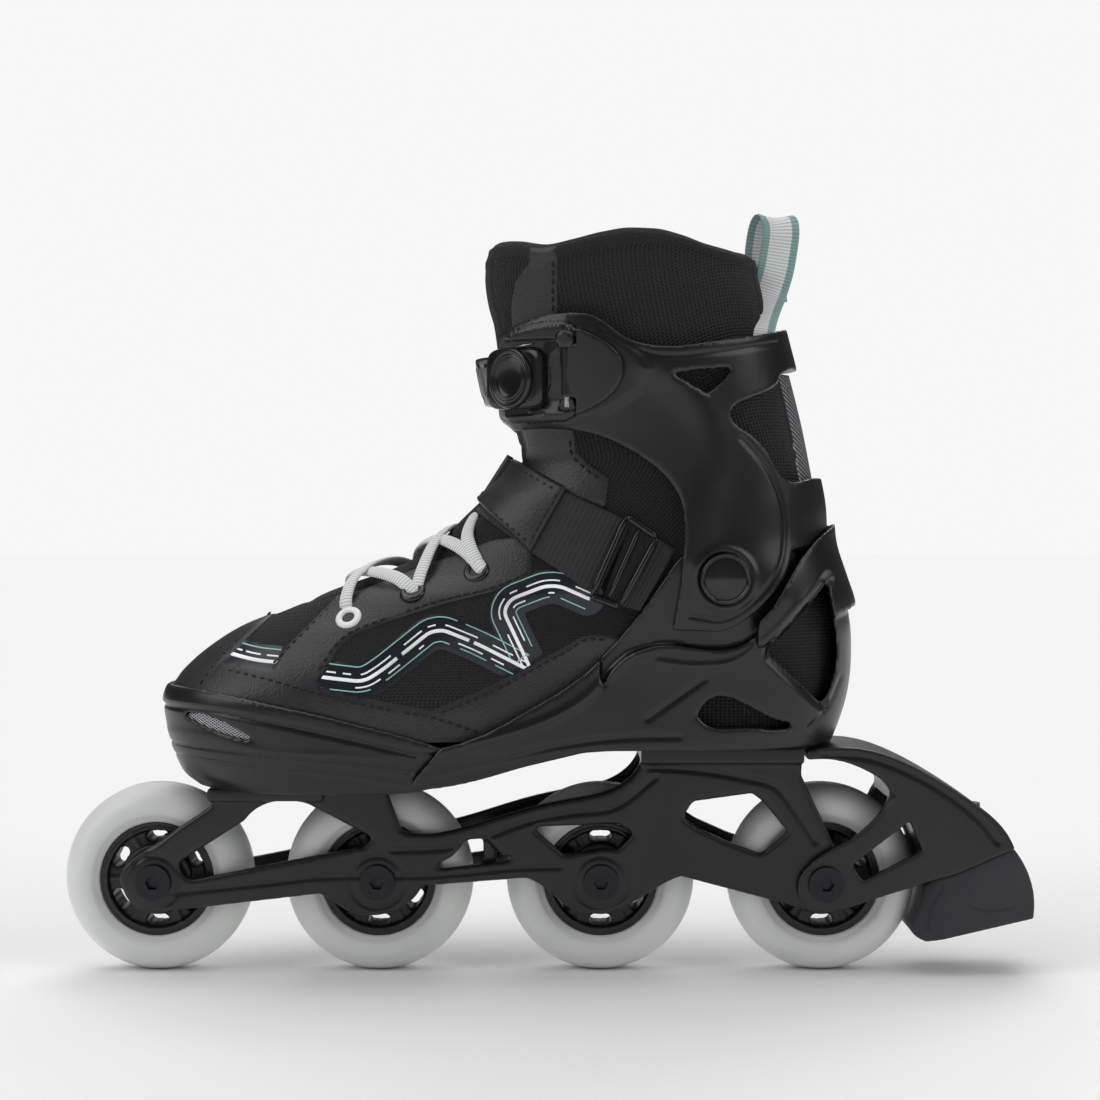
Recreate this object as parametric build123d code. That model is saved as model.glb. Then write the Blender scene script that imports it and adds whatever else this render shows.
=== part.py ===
from build123d import *
from functools import lru_cache
import math
import os

os.makedirs("parts", exist_ok=True)

# An adjustable inline skate. Frame: X along the skate (toe towards -X), Y across, Z up, millimetres.
# The origin is on the ground, under the middle of the skate's length.

# Wheels and axles
WHEEL_D = 76.0
WHEEL_W = 24.0
TREAD_FLAT = 6.0
HUB_R = 23.0
HUB_BARREL_R = 14.0
PITCH = 89.5
FRONT_AXLE_X = -156.8
AXLE_Z = WHEEL_D / 2
AXLE_X = [FRONT_AXLE_X + PITCH * i for i in range(4)]
BEARING_R = 11.0
BEARING_W = 7.0
BEARING_IN = 5.15
BEARING_OUT = BEARING_IN + BEARING_W
RACE_R = 6.0
RUNNING_GAP = 0.05
AXLE_R = 4.0
AXLE_HEAD_R = 7.0
AXLE_HEAD_H = 2.5

# Frame
RAIL_IN = 14.0
RAIL_OUT = 18.0
PLATE_HALF_W = 23.0
TOE_DECK_Z = 76.0
HEEL_DECK_Z = 93.0

# Boot
SOLE_GAP = 0.4
WALL = 3.2
OUTER = 6.5
CUFF_IN = 4.3
CUFF_OUT = 7.0
SOFT = -2.2
LINING = 5.5
PIVOT_X = 69.2
PIVOT_Z = 160.5
PIVOT_R = 5.0
CAP_R = 9.0
SPLIT_R = 46.0
FLEX_FORWARD = 8.0

# The sole line (x, z): flat under the toes, rising to the heel deck
SOLE = [(-165, 76.4), (-50, 76.8), (-33, 80.4), (-9, 87.0), (14.6, 92.6), (27, 93.4), (140, 93.4)]

# The foot and leg surface: front and back of the silhouette against height (z, x)
FRONT = [(76, -137), (79, -141.5), (84, -145), (91, -148), (104, -151), (113, -151), (119, -148), (126, -141.5),
         (134, -131), (139, -122.5), (143, -113), (147, -103), (150, -96), (153, -88), (157, -74), (161, -62),
         (166, -52), (175, -39.5), (183, -31.5), (192, -22), (200, -13), (207, -9.5), (215, -11), (225, -14),
         (245, -18.5), (259, -20.5), (270, -22.5), (283, -23.8), (292, -22)]
BACK = [(76, 104), (92, 109), (105, 114), (116, 116.8), (127, 117.6), (138, 117.3), (149, 115.8), (158, 112.8),
        (166, 110), (175, 107.5), (190, 106.5), (200, 104.5), (220, 100.5), (242, 95), (261, 90), (283, 84.5),
        (292, 83)]
# Half width of the foot along its length (x, y), and of the leg against height (z, y)
FOOT_W = [(-150, 45.5), (-110, 47.5), (-85, 47.5), (-40, 43), (0, 38.5), (40, 36.5), (115, 35.5)]
LEG_W = [(120, 37), (150, 41), (163, 42), (190, 40.5), (220, 41), (260, 43), (292, 44)]
LEVELS = [66, 71, 76, 80, 85, 92, 101, 112, 121, 130, 138, 145, 151, 157, 165, 175, 187, 200, 214, 229, 245, 261,
          277, 292, 306]
TOP_Z = 292.0


def interp(table, value):
    """Straight-line value of a (key, value) table."""
    if value <= table[0][0]:
        return table[0][1]
    for (k0, v0), (k1, v1) in zip(table, table[1:]):
        if value <= k1:
            return v0 + (v1 - v0) * (value - k0) / (k1 - k0)
    return table[-1][1]


def ease(value, low, high):
    """Smooth step from 0 at low to 1 at high."""
    t = min(1.0, max(0.0, (value - low) / (high - low)))
    return t * t * (3 - 2 * t)


def half_width(x, z):
    """Half width of the foot and leg surface."""
    foot = interp(FOOT_W, x) * (1 - 0.15 * (1 - ease(z, 70, 96)))
    leg = interp(LEG_W, z)
    t = ease(z, 108, 158)
    return foot * (1 - t) + leg * t


def level(z, grow, height):
    """One closed horizontal section of the surface, moved out by grow, drawn at the given height."""
    front = interp(FRONT, z) - grow
    back = interp(BACK, z) + grow
    nose = 62 + 38 * ease(z, 114, 145) - 42 * ease(z, 160, 205)
    tail = 46 + 6 * ease(z, 150, 210)
    near = []
    for i in range(11):
        x = front + (back - front) * (1 - math.cos(math.pi * i / 10)) / 2
        u = min(1.0, (x - front) / (nose + grow))
        v = min(1.0, (back - x) / (tail + grow))
        run_in = max(0.0, 1 - (1 - u) ** 2.15) ** (1 / 2.15)
        run_out = math.sqrt(max(0.0, 1 - (1 - v) ** 2))
        near.append((x, (half_width(x, z) + grow) * run_in * run_out))
    loop = [(x, -y) for x, y in near] + near[-2:0:-1]
    return Wire([Edge.make_spline([Vector(x, y, height) for x, y in loop], periodic=True)])


@lru_cache(maxsize=None)
def body(grow):
    """The foot and leg as one solid, moved out by grow, a little longer than the boot at both ends."""
    return Solid.make_loft([level(z, grow, z) for z in LEVELS])


def leg(grow, top):
    """The leg alone, from above the sole to the given level."""
    return Solid.make_loft([level(z, grow, z) for z in LEVELS if 157 <= z <= top])


def outline(*runs):
    """A closed wire in the XZ plane. A run of two points is straight, a longer one is a curve."""
    edges = []
    for run in runs:
        points = [Vector(x, 0, z) for x, z in run]
        edges.append(Edge.make_line(*points) if len(points) == 2 else Edge.make_spline(points))
    start = runs[0][0]
    end = runs[-1][-1]
    if math.dist(start, end) > 0.01:
        edges.append(Edge.make_line(Vector(end[0], 0, end[1]), Vector(start[0], 0, start[1])))
    return Wire(edges)


def polygon(*points):
    """A closed straight-sided wire in the XZ plane."""
    return Wire.make_polygon([Vector(x, 0, z) for x, z in points], close=True)


def across(wire, y0, y1):
    """A prism across the skate from y0 to y1 with the given side outline."""
    return Solid.extrude(Face(wire).moved(Location((0, y0, 0))), Vector(0, y1 - y0, 0))


def both_sides(wire, y0, y1):
    """The same prism on each side of the skate."""
    return Compound([across(wire, y0, y1), across(wire, -y1, -y0)])


def block(x0, x1, y0, y1, z0, z1):
    """A box between two corners."""
    return Solid.make_box(x1 - x0, y1 - y0, z1 - z0, Plane((x0, y0, z0)))


def rod(x, z, radius, y0, y1):
    """A cylinder across the skate."""
    return Solid.make_cylinder(radius, y1 - y0, Plane((x, y0, z), x_dir=(1, 0, 0), z_dir=(0, 1, 0)))


def ring(x, z, r_in, r_out, y0, y1):
    """A tube across the skate."""
    return rod(x, z, r_out, y0, y1) - rod(x, z, r_in, y0 - 1, y1 + 1)


def slab(low, high, x0, x1):
    """A layer that follows the sole line, from low to high above it, as a full-width prism."""
    line = [(x0, interp(SOLE, x0))] + [p for p in SOLE if x0 < p[0] < x1] + [(x1, interp(SOLE, x1))]
    bottom = [(x, z + low) for x, z in line]
    top = [(x, z + high) for x, z in reversed(line)]
    return across(polygon(*bottom, *top), -70, 70)


def solids_of(shape):
    """Every solid of a boolean result, largest first, without crumbs."""
    found = sorted(shape.solids(), key=lambda s: -s.volume)
    return [s for s in found if s.volume > 2.0]


def save(node, *shapes):
    """Write one node as parts/NODE.step."""
    pieces = [s for shape in shapes for s in solids_of(shape)]
    item = pieces[0] if len(pieces) == 1 else Compound(pieces)
    export_step(item, f"parts/{node}.step")


# ---------------------------------------------------------------- wheels

def turned(points, x):
    """A solid of revolution about an axle, from (radius, y) runs as for outline."""
    edges = []
    for run in points:
        run_points = [Vector(r, y, 0) for r, y in run]
        edges.append(Edge.make_line(*run_points) if len(run) == 2 else Edge.make_spline(run_points))
    face = Face(Wire(edges))
    return Solid.revolve(face, 360, Axis.Y).moved(Location((x, 0, AXLE_Z)))


def tyre(x):
    """Soft tyre: rounded shoulders and a small flat on the tread."""
    r = WHEEL_D / 2
    side = [(HUB_R + 3, WHEEL_W / 2 - 0.4), (r - 7, WHEEL_W / 2), (r - 2.4, WHEEL_W / 2 - 3.6), (r, TREAD_FLAT / 2)]
    other = [(a, -y) for a, y in reversed(side)]
    root = WHEEL_W / 2 - 1.6
    runs = [[(HUB_R, -root), (HUB_R, root)], [(HUB_R, root), side[0]], side, [side[-1], other[0]], other,
            [other[-1], (HUB_R, -root)]]
    return turned(runs, x)


def hub(x):
    """Spoked hub: rim, barrel with two bearing seats, and a web with six windows."""
    rim = ring(x, AXLE_Z, HUB_R - 3.2, HUB_R, -10.2, 10.2)
    barrel = ring(x, AXLE_Z, 8.5, HUB_BARREL_R, -BEARING_OUT, BEARING_OUT)
    for sign in (-1, 1):
        y = sorted((sign * BEARING_IN, sign * (BEARING_OUT + 1)))
        barrel = barrel - rod(x, AXLE_Z, BEARING_R, *y)
    web = ring(x, AXLE_Z, HUB_BARREL_R - 1, HUB_R - 2, -8.0, 8.0)
    for i in range(6):
        a = math.radians(60 * i + 30)
        for swing in (-0.13, 0.0, 0.13):
            cx = x + 17.1 * math.cos(a + swing)
            cz = AXLE_Z + 17.1 * math.sin(a + swing)
            web = web - rod(cx, cz, 2.3, -12, 12)
    return rim + web + barrel


def make_wheels():
    """Four wheels, each with its own tyre, hub and pair of bearings."""
    for i, x in enumerate(AXLE_X, start=1):
        save(f"wheel_{i}_tyre", tyre(x))
        save(f"wheel_{i}_hub", hub(x))
        shells = [ring(x, AXLE_Z, RACE_R + RUNNING_GAP, BEARING_R, *sorted((s * BEARING_IN, s * BEARING_OUT)))
                  for s in (-1, 1)]
        save(f"wheel_{i}_bearings", *shells)


def head_face(i):
    """Where an axle's head sits: on the rail, or on the brake arm at the last wheel."""
    return ARM_OUT if i == 3 else RAIL_OUT


def make_axles():
    """Inner races, spacers, bolts and sleeve nuts of the four axles."""
    races = []
    spacers = []
    bolts = []
    nuts = []
    for i, x in enumerate(AXLE_X):
        face = head_face(i)
        for s in (-1, 1):
            races.append(ring(x, AXLE_Z, AXLE_R, RACE_R, *sorted((s * BEARING_IN, s * BEARING_OUT))))
        spacers.append(ring(x, AXLE_Z, AXLE_R, RACE_R, -BEARING_IN, BEARING_IN))
        key = Solid.extrude(
            Face(Wire.make_polygon([Vector(x + 2.9 * math.cos(k * math.pi / 3), -face - AXLE_HEAD_H - 1,
                                           AXLE_Z + 2.9 * math.sin(k * math.pi / 3)) for k in range(6)], close=True)),
            Vector(0, 3.6, 0))
        bolt = rod(x, AXLE_Z, AXLE_HEAD_R, -face - AXLE_HEAD_H, -face) + rod(x, AXLE_Z, AXLE_R, -face - 0.5, 8)
        bolts.append(bolt + rod(x, AXLE_Z, 2.5, 7, face - 1) - key)
        nut = rod(x, AXLE_Z, AXLE_HEAD_R, face, face + AXLE_HEAD_H) + rod(x, AXLE_Z, AXLE_R, 8, face + 0.5)
        nuts.append(nut - rod(x, AXLE_Z, 2.5, 7, face - 1))
    save("bearing_inner_races", *races)
    save("axle_spacers", *spacers)
    save("axle_bolts", *bolts)
    save("axle_sleeve_nuts", *nuts)


# ---------------------------------------------------------------- frame

def rail_outline():
    """Side outline of a frame rail, from the front pillar round by the bottom to the heel deck."""
    nose = [(-131.8, 70.1), (-149.1, 58.3), (-162.4, 49.1), (-169.6, 42.5), (-170.7, 38.9), (-167.6, 32.7),
            (-163.6, 28.1), (-156.4, 26.3), (-148.3, 26.4)]
    belly_1 = [(-90.1, 33.2), (-86, 30.7), (-78.9, 26.1), (-67.7, 24.5), (-57.5, 27.6), (-49.3, 36.3)]
    belly_2 = [(-7.9, 39.5), (2.3, 33.4), (10, 27.2), (22.3, 25.2), (33, 28.6), (45.9, 36.3), (54.1, 40.2)]
    tail = [(101.1, 27.8), (111.7, 26.2), (120.5, 30), (123.4, 38), (120, 47), (115.3, 53.4)]
    top = [(38.0, 86.6), (34.5, 80.9), (27.1, 75.6), (10.8, 71.5), (-9.5, 67), (-34.2, 59.5), (-50, 57.2), (-57.5, 58.5)]
    return outline([(-134.8, TOE_DECK_Z), nose[0]], nose, [nose[-1], belly_1[0]], belly_1, [belly_1[-1], belly_2[0]],
                   belly_2, [belly_2[-1], tail[0]], tail, [tail[-1], (102.3, 80.7)], [(102.3, 80.7), (103, 93)],
                   [(103, HEEL_DECK_Z), (38.0, HEEL_DECK_Z)], [(38.0, HEEL_DECK_Z), top[0]], top,
                   [top[-1], (-62.0, 70.5)], [(-62.0, 70.5), (-63.5, TOE_DECK_Z)])


def rail_windows():
    """The four windows of a rail, as side outlines."""
    front = outline([(-146.1, 46.1), (-120.6, 62.4)], [(-120.6, 62.4), (-112.4, 69.0), (-105.3, 70.6), (-95, 69.2)],
                    [(-95, 69.2), (-69, 55.6)], [(-69, 55.6), (-72.7, 52.2)], [(-72.7, 52.2), (-141.1, 38.9)],
                    [(-141.1, 38.9), (-146.1, 42), (-146.1, 46.1)])
    small = polygon((-46.3, 43.2), (-37.3, 48.1), (-30.7, 55.0), (-23.4, 55.0), (-17.7, 49), (-11.2, 47.4),
                    (-15.2, 46.3), (-42.2, 43.2))
    middle = polygon((-5.5, 60), (28.8, 61.2), (35.3, 57.6), (29.6, 51.4), (7.6, 49))
    rear = polygon((54.9, 63.7), (58.9, 70.2), (82.6, 73.5), (86.7, 70.4), (97, 57.9), (86.3, 49.3), (74.7, 53.4),
                   (61.7, 59.2))
    return [front, small, middle, rear]


def make_frame():
    """Two rails, joined by the toe deck, the heel deck and webs between the wheels."""
    frame = across(rail_outline(), -RAIL_OUT, RAIL_OUT) - across(rail_outline(), -RAIL_IN, RAIL_IN)
    for window in rail_windows():
        frame = frame - across(window, -RAIL_OUT - 1, RAIL_OUT + 1)
    frame = frame + block(-134.8, -88.5, -PLATE_HALF_W, PLATE_HALF_W, 71.0, TOE_DECK_Z)
    frame = frame + block(38.0, 103, -PLATE_HALF_W, PLATE_HALF_W, 86.0, HEEL_DECK_Z)
    webs = [(-25, -20, 42, 56), (64.5, 69.5, 42, 49), (64.5, 69.5, 76, 88)]
    for x0, x1, z0, z1 in webs:
        frame = frame + block(x0, x1, -RAIL_IN - 1, RAIL_IN + 1, z0, z1)
    for x in AXLE_X:
        frame = frame + ring(x, AXLE_Z, AXLE_R, 6.5, BEARING_OUT, RAIL_IN + 1)
        frame = frame + ring(x, AXLE_Z, AXLE_R, 6.5, -RAIL_IN - 1, -BEARING_OUT)
        frame = frame - rod(x, AXLE_Z, AXLE_R, -30, 30)
    for x, z in MOUNT_BOLTS:
        frame = frame - Solid.make_cylinder(3.0, 20, Plane((x, 0, z - 15)))
    save("frame", frame)


MOUNT_BOLTS = [(48.5, HEEL_DECK_Z), (89.0, HEEL_DECK_Z)]


def make_mount_bolts():
    """Bolts that hold the heel shell on the heel deck, heads down between the rails."""
    bolts = []
    for x, z in MOUNT_BOLTS:
        shank = Solid.make_cylinder(3.0, 8.8, Plane((x, 0, z - 7.0)))
        head = Solid.make_cylinder(5.5, 3.0, Plane((x, 0, z - 10.0)))
        bolts.append(shank + head)
    save("boot_mount_bolts", *bolts)


# ---------------------------------------------------------------- heel brake

ARM_OUT = 22.5
WHEEL_CLEAR = 42.0


def make_brake():
    """Brake arm on the rear axle, with a rubber pad under its tail and one screw."""
    tip = [(104, 91.4), (116.2, 92.6), (128.8, 91.4), (143.2, 86.4), (157.6, 78.7), (170.2, 70.6), (179.3, 63.4),
           (187.0, 51.6)]
    joint = [(187.0, 51.6), (177.3, 47.9), (168.5, 43.9), (156, 39.8)]
    under = [(156, 39.8), (150.5, 38.0), (135.4, 33.2), (119.4, 28.2), (111.4, 27.0), (101.8, 31.5), (100.4, 38),
             (104.2, 44.5), (118.4, 54.3)]
    inner = [(118.4, 54.3), (135.3, 69.5), (137, 74.8), (129, 82.4), (114.8, 87.4), (104, 87.3)]
    arm = across(outline(tip, joint, under, inner, [inner[-1], tip[0]]), -ARM_OUT, ARM_OUT)
    arm = arm - block(95, 130, -RAIL_OUT, RAIL_OUT, 20, 85)
    arm = arm - rod(AXLE_X[3], AXLE_Z, WHEEL_CLEAR, -RAIL_OUT, RAIL_OUT)
    slot = polygon((122, 45.4), (126.5, 39.1), (150, 51), (145, 63))
    arm = arm - across(slot, -30, 30) - rod(AXLE_X[3], AXLE_Z, AXLE_R, -30, 30)
    front = [(149.8, 14.8), (146.1, 20), (146.6, 25.4), (151.5, 36.3), (156, 39.8)]
    heel = [(187.0, 51.6), (192, 43.5), (194.8, 34.5), (194.8, 23.6)]
    pad_wire = outline(list(reversed(joint)), heel, [heel[-1], (152.5, 13.7)], [(152.5, 13.7), front[0]], front)
    pad = across(pad_wire, -15, 15) - rod(AXLE_X[3], AXLE_Z, WHEEL_D / 2 + 1.6, -20, 20)
    screw = Solid.make_cylinder(3.0, 34, Plane((172, 0, 33))) + Solid.make_cylinder(5.0, 4, Plane((172, 0, 63.5)))
    head_room = Solid.make_cylinder(5.0, 20, Plane((172, 0, 63.5)))
    save("brake_arm", arm - Solid.make_cylinder(3.0, 40, Plane((172, 0, 33))) - head_room)
    save("brake_pad", pad - Solid.make_cylinder(3.0, 34, Plane((172, 0, 33))))
    save("brake_pad_screw", screw)


# ---------------------------------------------------------------- boot shells

ARM_FRONT = [(-49.6, 78.5), (-51.5, 80.6), (-48.6, 85.4), (-43.6, 91.3), (-40.7, 95.2)]
SHELL_RIM = [(-40.7, 95.2), (-24.1, 100.4), (-6.5, 109.7), (9, 119), (21.4, 129.4)]
STEP_LINE = [(21.4, 112.9), (39, 133.5), (48.3, 134.8), (57.6, 133.6), (68.9, 133), (76, 134.6), (84, 140.8),
             (91, 149), (98, 155.8), (104, 160.6), (112, 164)]
WING_RIM = [(21.4, 129.4), (31.7, 140.8), (41, 153.2), (47.2, 162.5), (56, 172), (69, 176.5), (83, 175), (96, 171.5),
            (104, 172), (112, 177)]
BLADE_RIM = [(82, 143.5), (89.3, 152.0), (99, 167.5), (107, 175.5), (117, 181)]
ROOT_RIM = [(82, 141), (90, 149.0), (97, 157.5), (102, 164.5)]
BLADE_IN = 8.6
BLADE_OUT = 10.2


def make_heel_shell():
    """Hard heel shell: floor, side walls, a thin collar that the cuff turns on, and a blade behind the cuff."""
    floor_front = -49.6
    low = across(outline(ARM_FRONT, SHELL_RIM, [SHELL_RIM[-1], STEP_LINE[0]], STEP_LINE, [STEP_LINE[-1], (130, 164)],
                         [(130, 164), (130, 93.4)], [(130, 93.4), (26, 93.4)],
                         [(26, 93.4), (14.6, 92.6), (-9.3, 87), (-33.3, 80.4), ARM_FRONT[0]]), -70, 70)
    wing = across(outline(WING_RIM, [WING_RIM[-1], (128, 177)], [(128, 177), (128, 120)], [(128, 120), (21.4, 100)],
                          [(21.4, 100), WING_RIM[0]]), -70, 70)
    cavity = body(SOLE_GAP)
    shell = (body(OUTER) & low) + (body(WALL) & wing)
    shell = shell - cavity
    arm_room = body(WALL + 1.0) & block(-60, -16, -70, 70, 70, 130)
    shell = shell - arm_room
    blade = (body(BLADE_OUT) & across(outline(BLADE_RIM, [BLADE_RIM[-1], (135, 181)], [(135, 181), (135, 156)],
                                              [(135, 156), (82, 136)], [(82, 136), BLADE_RIM[0]]), -70, 70))
    shell = shell + (blade - body(BLADE_IN))
    root = (body(BLADE_OUT) & across(outline(ROOT_RIM, [ROOT_RIM[-1], (135, 167)], [(135, 167), (135, 152)],
                                             [(135, 152), (82, 134)], [(82, 134), ROOT_RIM[0]]), -70, 70))
    shell = shell + (root - body(OUTER - 1))
    shell = shell + (body(OUTER - 1) & slab(0, 3.0, -27, 125)) + (body(-0.6) & slab(0, 3.0, floor_front + 3, -26))
    rear_window = outline([(110.5, 159.0), (86, 131.9)], [(86, 131.9), (108.8, 110.4)],
                          [(108.8, 110.4), (114.2, 121.8), (115.3, 130), (112.3, 149.9), (110.5, 159.0)])
    vent = outline([(59.1, 107.4), (67.1, 114.5), (79.6, 110.3), (101, 105.6)],
                   [(101, 105.6), (96.8, 102.4), (79, 102.2), (62, 104.0), (59.1, 107.4)])
    for window in (rear_window, vent):
        shell = shell - both_sides(window, 14, 70)
    shell = shell - rod(PIVOT_X, PIVOT_Z, PIVOT_R + RUNNING_GAP, -70, 70)
    for x, z in MOUNT_BOLTS:
        shell = shell - Solid.make_cylinder(3.0, 8, Plane((x, 0, z - 4)))
    shell = shell - lock_slot()
    save("heel_shell", Compound(solids_of(shell)[:1]))


def toe_rim():
    """Upper rim of the toe shell."""
    return [(-160, 115.4), (-131.3, 115.8), (-109.6, 112.4), (-89.9, 108.4), (-70.1, 103.5), (-50.4, 98), (-30, 89.5)]


def make_toe_shell():
    """Hard toe shell that slides forward between the arms of the heel shell."""
    side = outline(toe_rim(), [(-30, 89.5), (-30, 81.6)], [(-30, 81.6), (-50, 77.2)], [(-50, 77.2), (-60, 76.4)],
                   [(-60, 76.4), (-160, 76.4)])
    side_prism = across(side, -70, 70)
    shell = (body(WALL) & side_prism) - body(SOLE_GAP)
    shell = shell + (body(WALL - 1) & slab(0, 2.8, -150, -54) & side_prism)
    vent = outline([(-143, 106.6), (-134.1, 107.4), (-122, 103.6), (-110.3, 97.5)],
                   [(-110.3, 97.5), (-122, 99.5), (-132, 102.5), (-143, 106.6)])
    shell = shell - both_sides(vent, 4, 70)
    save("toe_shell", Compound(solids_of(shell)[:1]))
    mesh = (body(WALL - 1.2) & both_sides(vent, 8, 70)) - body(SOLE_GAP + 0.6)
    save("toe_vent_meshes", mesh)


# ---------------------------------------------------------------- soft boot

def wedge(angle_0, angle_1):
    """Full-width sector about the cuff pivot between two angles, in degrees from +X."""
    points = [(PIVOT_X, PIVOT_Z)]
    steps = 6
    for i in range(steps + 1):
        a = math.radians(angle_0 + (angle_1 - angle_0) * i / steps)
        points.append((PIVOT_X + 260 * math.cos(a), PIVOT_Z + 260 * math.sin(a)))
    return across(polygon(*points), -70, 70)


SHAFT_FRONT = 141.0
FOOT_FRONT = SHAFT_FRONT + FLEX_FORWARD + 1.5
THROAT_HALF_W = 15.0


def throat(half_w):
    """The gap between the two eyestays, over the instep."""
    side = polygon((-96, 146), (-60, 152), (-10, 166), (8, 190), (8, 205), (-30, 205), (-100, 170))
    return across(side, -half_w, half_w)


def make_uppers():
    """Soft upper of the foot in two parts, insole, tongue and the padded shaft that moves with the cuff."""
    soft = body(SOFT)
    lining = body(SOFT - LINING)
    above_floor = slab(3.4, 230, -160, 130)
    toe_part = block(-160, -89.0, -70, 70, 70, 300)
    heel_part = block(-88.6, 130, -70, 70, 70, 300)
    keep_foot = rod(PIVOT_X, PIVOT_Z, SPLIT_R - 0.5, -80, 80) + wedge(FOOT_FRONT, 356.0)
    foot = (soft & (above_floor & keep_foot)) - lining
    floor = soft & slab(3.4, 5.8, -160, 125)
    rear = (foot + floor) & heel_part
    rear = rear - throat(THROAT_HALF_W)
    save("upper_rear", Compound(solids_of(rear)[:1]))
    save("upper_toe", Compound(solids_of((foot + floor) & toe_part)[:1]))
    save("insole", body(SOFT - LINING - 0.4) & slab(5.8, 9.6, -84, 112))
    tongue = (soft & (throat(THROAT_HALF_W - 0.3) & keep_foot & heel_part)) - lining
    save("tongue", Compound(solids_of(tongue)[:1]))
    shaft = (leg(SOFT, TOP_Z) - leg(SOFT - 7.0, 306)) & wedge(3.0, SHAFT_FRONT)
    shaft = shaft - rod(PIVOT_X, PIVOT_Z, SPLIT_R, -80, 80)
    shin = across(polygon((-40, 222), (4, 222), (4, 293), (-40, 293)), -17, 17)
    shin_room = across(polygon((-40, 221.6), (4.3, 221.6), (4.3, 300), (-40, 300)), -17.3, 17.3)
    save("shaft_padding", Compound(solids_of(shaft - shin_room)[:1]))
    save("shin_tongue", Compound(solids_of(shaft & shin)[:1]))


# ---------------------------------------------------------------- cuff

def cuff_outline():
    """Side outline of the cuff: collar band, V notch at the back, heel band and the two lower corners."""
    top = [(-18.4, 254.9), (-9.6, 259.6), (8.9, 263.2), (18, 262), (31, 253.5), (41.9, 250.2), (62.5, 251.8),
           (83.1, 255.4), (97, 259.5)]
    notch = [(91.9, 239.4), (82, 231.5), (71.5, 223.8), (73.5, 220.6), (79.1, 216.8), (87.4, 208.5), (92.5, 200.3),
             (97, 197.5)]
    low = [(96.5, 171.6), (92.6, 160.4), (83.2, 149.2), (75, 143), (66.8, 139.9)]
    front = [(49.2, 140.4), (51.0, 152), (52.9, 165), (53.8, 178), (52.0, 191), (42, 203.8), (31.7, 210.6),
             (21.4, 215.3), (8, 218.1), (-12.2, 218.1)]
    return outline(top, [top[-1], (125, 262)], [(125, 262), (125, 243)], [(125, 243), (97, 242.4)],
                   [(97, 242.4), notch[0]], notch, [notch[-1], (106.1, 199.6)], [(106.1, 199.6), (125, 199.6)],
                   [(125, 199.6), (125, 171.6)], [(125, 171.6), low[0]], low, [low[-1], front[0]], front,
                   [front[-1], (-18.4, 224.1)])


def lever_outline():
    """Side outline of the buckle lever."""
    return outline([(HINGE_X, 257.4), (21.1, 252.5), (29.4, 243.2), (28.6, 236.4), (21.1, 228.1), (HINGE_X, 222.5)])


BUTTON_X = -9.4
BUTTON_Z = 237.9
BUTTON_R = 9.2
BUTTON_TRAVEL = 2.0
BUTTON_H = 2.6
SPRING_H = 0.9
HINGE_X = 8.4
HINGE_RISE = 1.2
HINGE_R = 2.3


def local_y(x, z, grow):
    """Half width of the grown surface at one point."""
    front = interp(FRONT, z) - grow
    back = interp(BACK, z) + grow
    nose = 62 + 38 * ease(z, 114, 145) - 42 * ease(z, 160, 205)
    tail = 46 + 6 * ease(z, 150, 210)
    u = min(1.0, (x - front) / (nose + grow))
    v = min(1.0, (back - x) / (tail + grow))
    run_in = max(0.0, 1 - (1 - u) ** 2.15) ** (1 / 2.15)
    return (half_width(x, z) + grow) * run_in * math.sqrt(max(0.0, 1 - (1 - v) ** 2))


def make_cuff():
    """Hard cuff with its pivot rivets and caps."""
    cuff = (body(CUFF_OUT) & across(cuff_outline(), -75, 75)) - body(CUFF_IN)
    window = outline([(47.5, 239.9), (60, 241.2), (72.5, 241.9)], [(72.5, 241.9), (69, 237.6), (62.4, 231.6)],
                     [(62.4, 231.6), (54.5, 235.6), (47.5, 239.9)])
    cuff = cuff - both_sides(window, 10, 75)
    seat = 49.3
    cuff = cuff - rod(PIVOT_X, PIVOT_Z, PIVOT_R, -75, 75)
    for sign in (-1, 1):
        cuff = cuff - rod(PIVOT_X, PIVOT_Z, CAP_R + 0.2, *sorted((sign * seat, sign * 75)))
    save("cuff", Compound(solids_of(cuff)[:1]))
    rivets = []
    caps = []
    for sign in (-1, 1):
        rivets.append(rod(PIVOT_X, PIVOT_Z, PIVOT_R, *sorted((sign * 41.6, sign * seat))))
        dome = rod(PIVOT_X, PIVOT_Z, CAP_R, *sorted((sign * seat, sign * (seat + 2.4))))
        caps.append(dome)
    save("cuff_pivot_rivets", *rivets)
    save("cuff_pivot_caps", *caps)


BUCKLE_MID = 9.6
BUCKLE_OUT = 13.2


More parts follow.
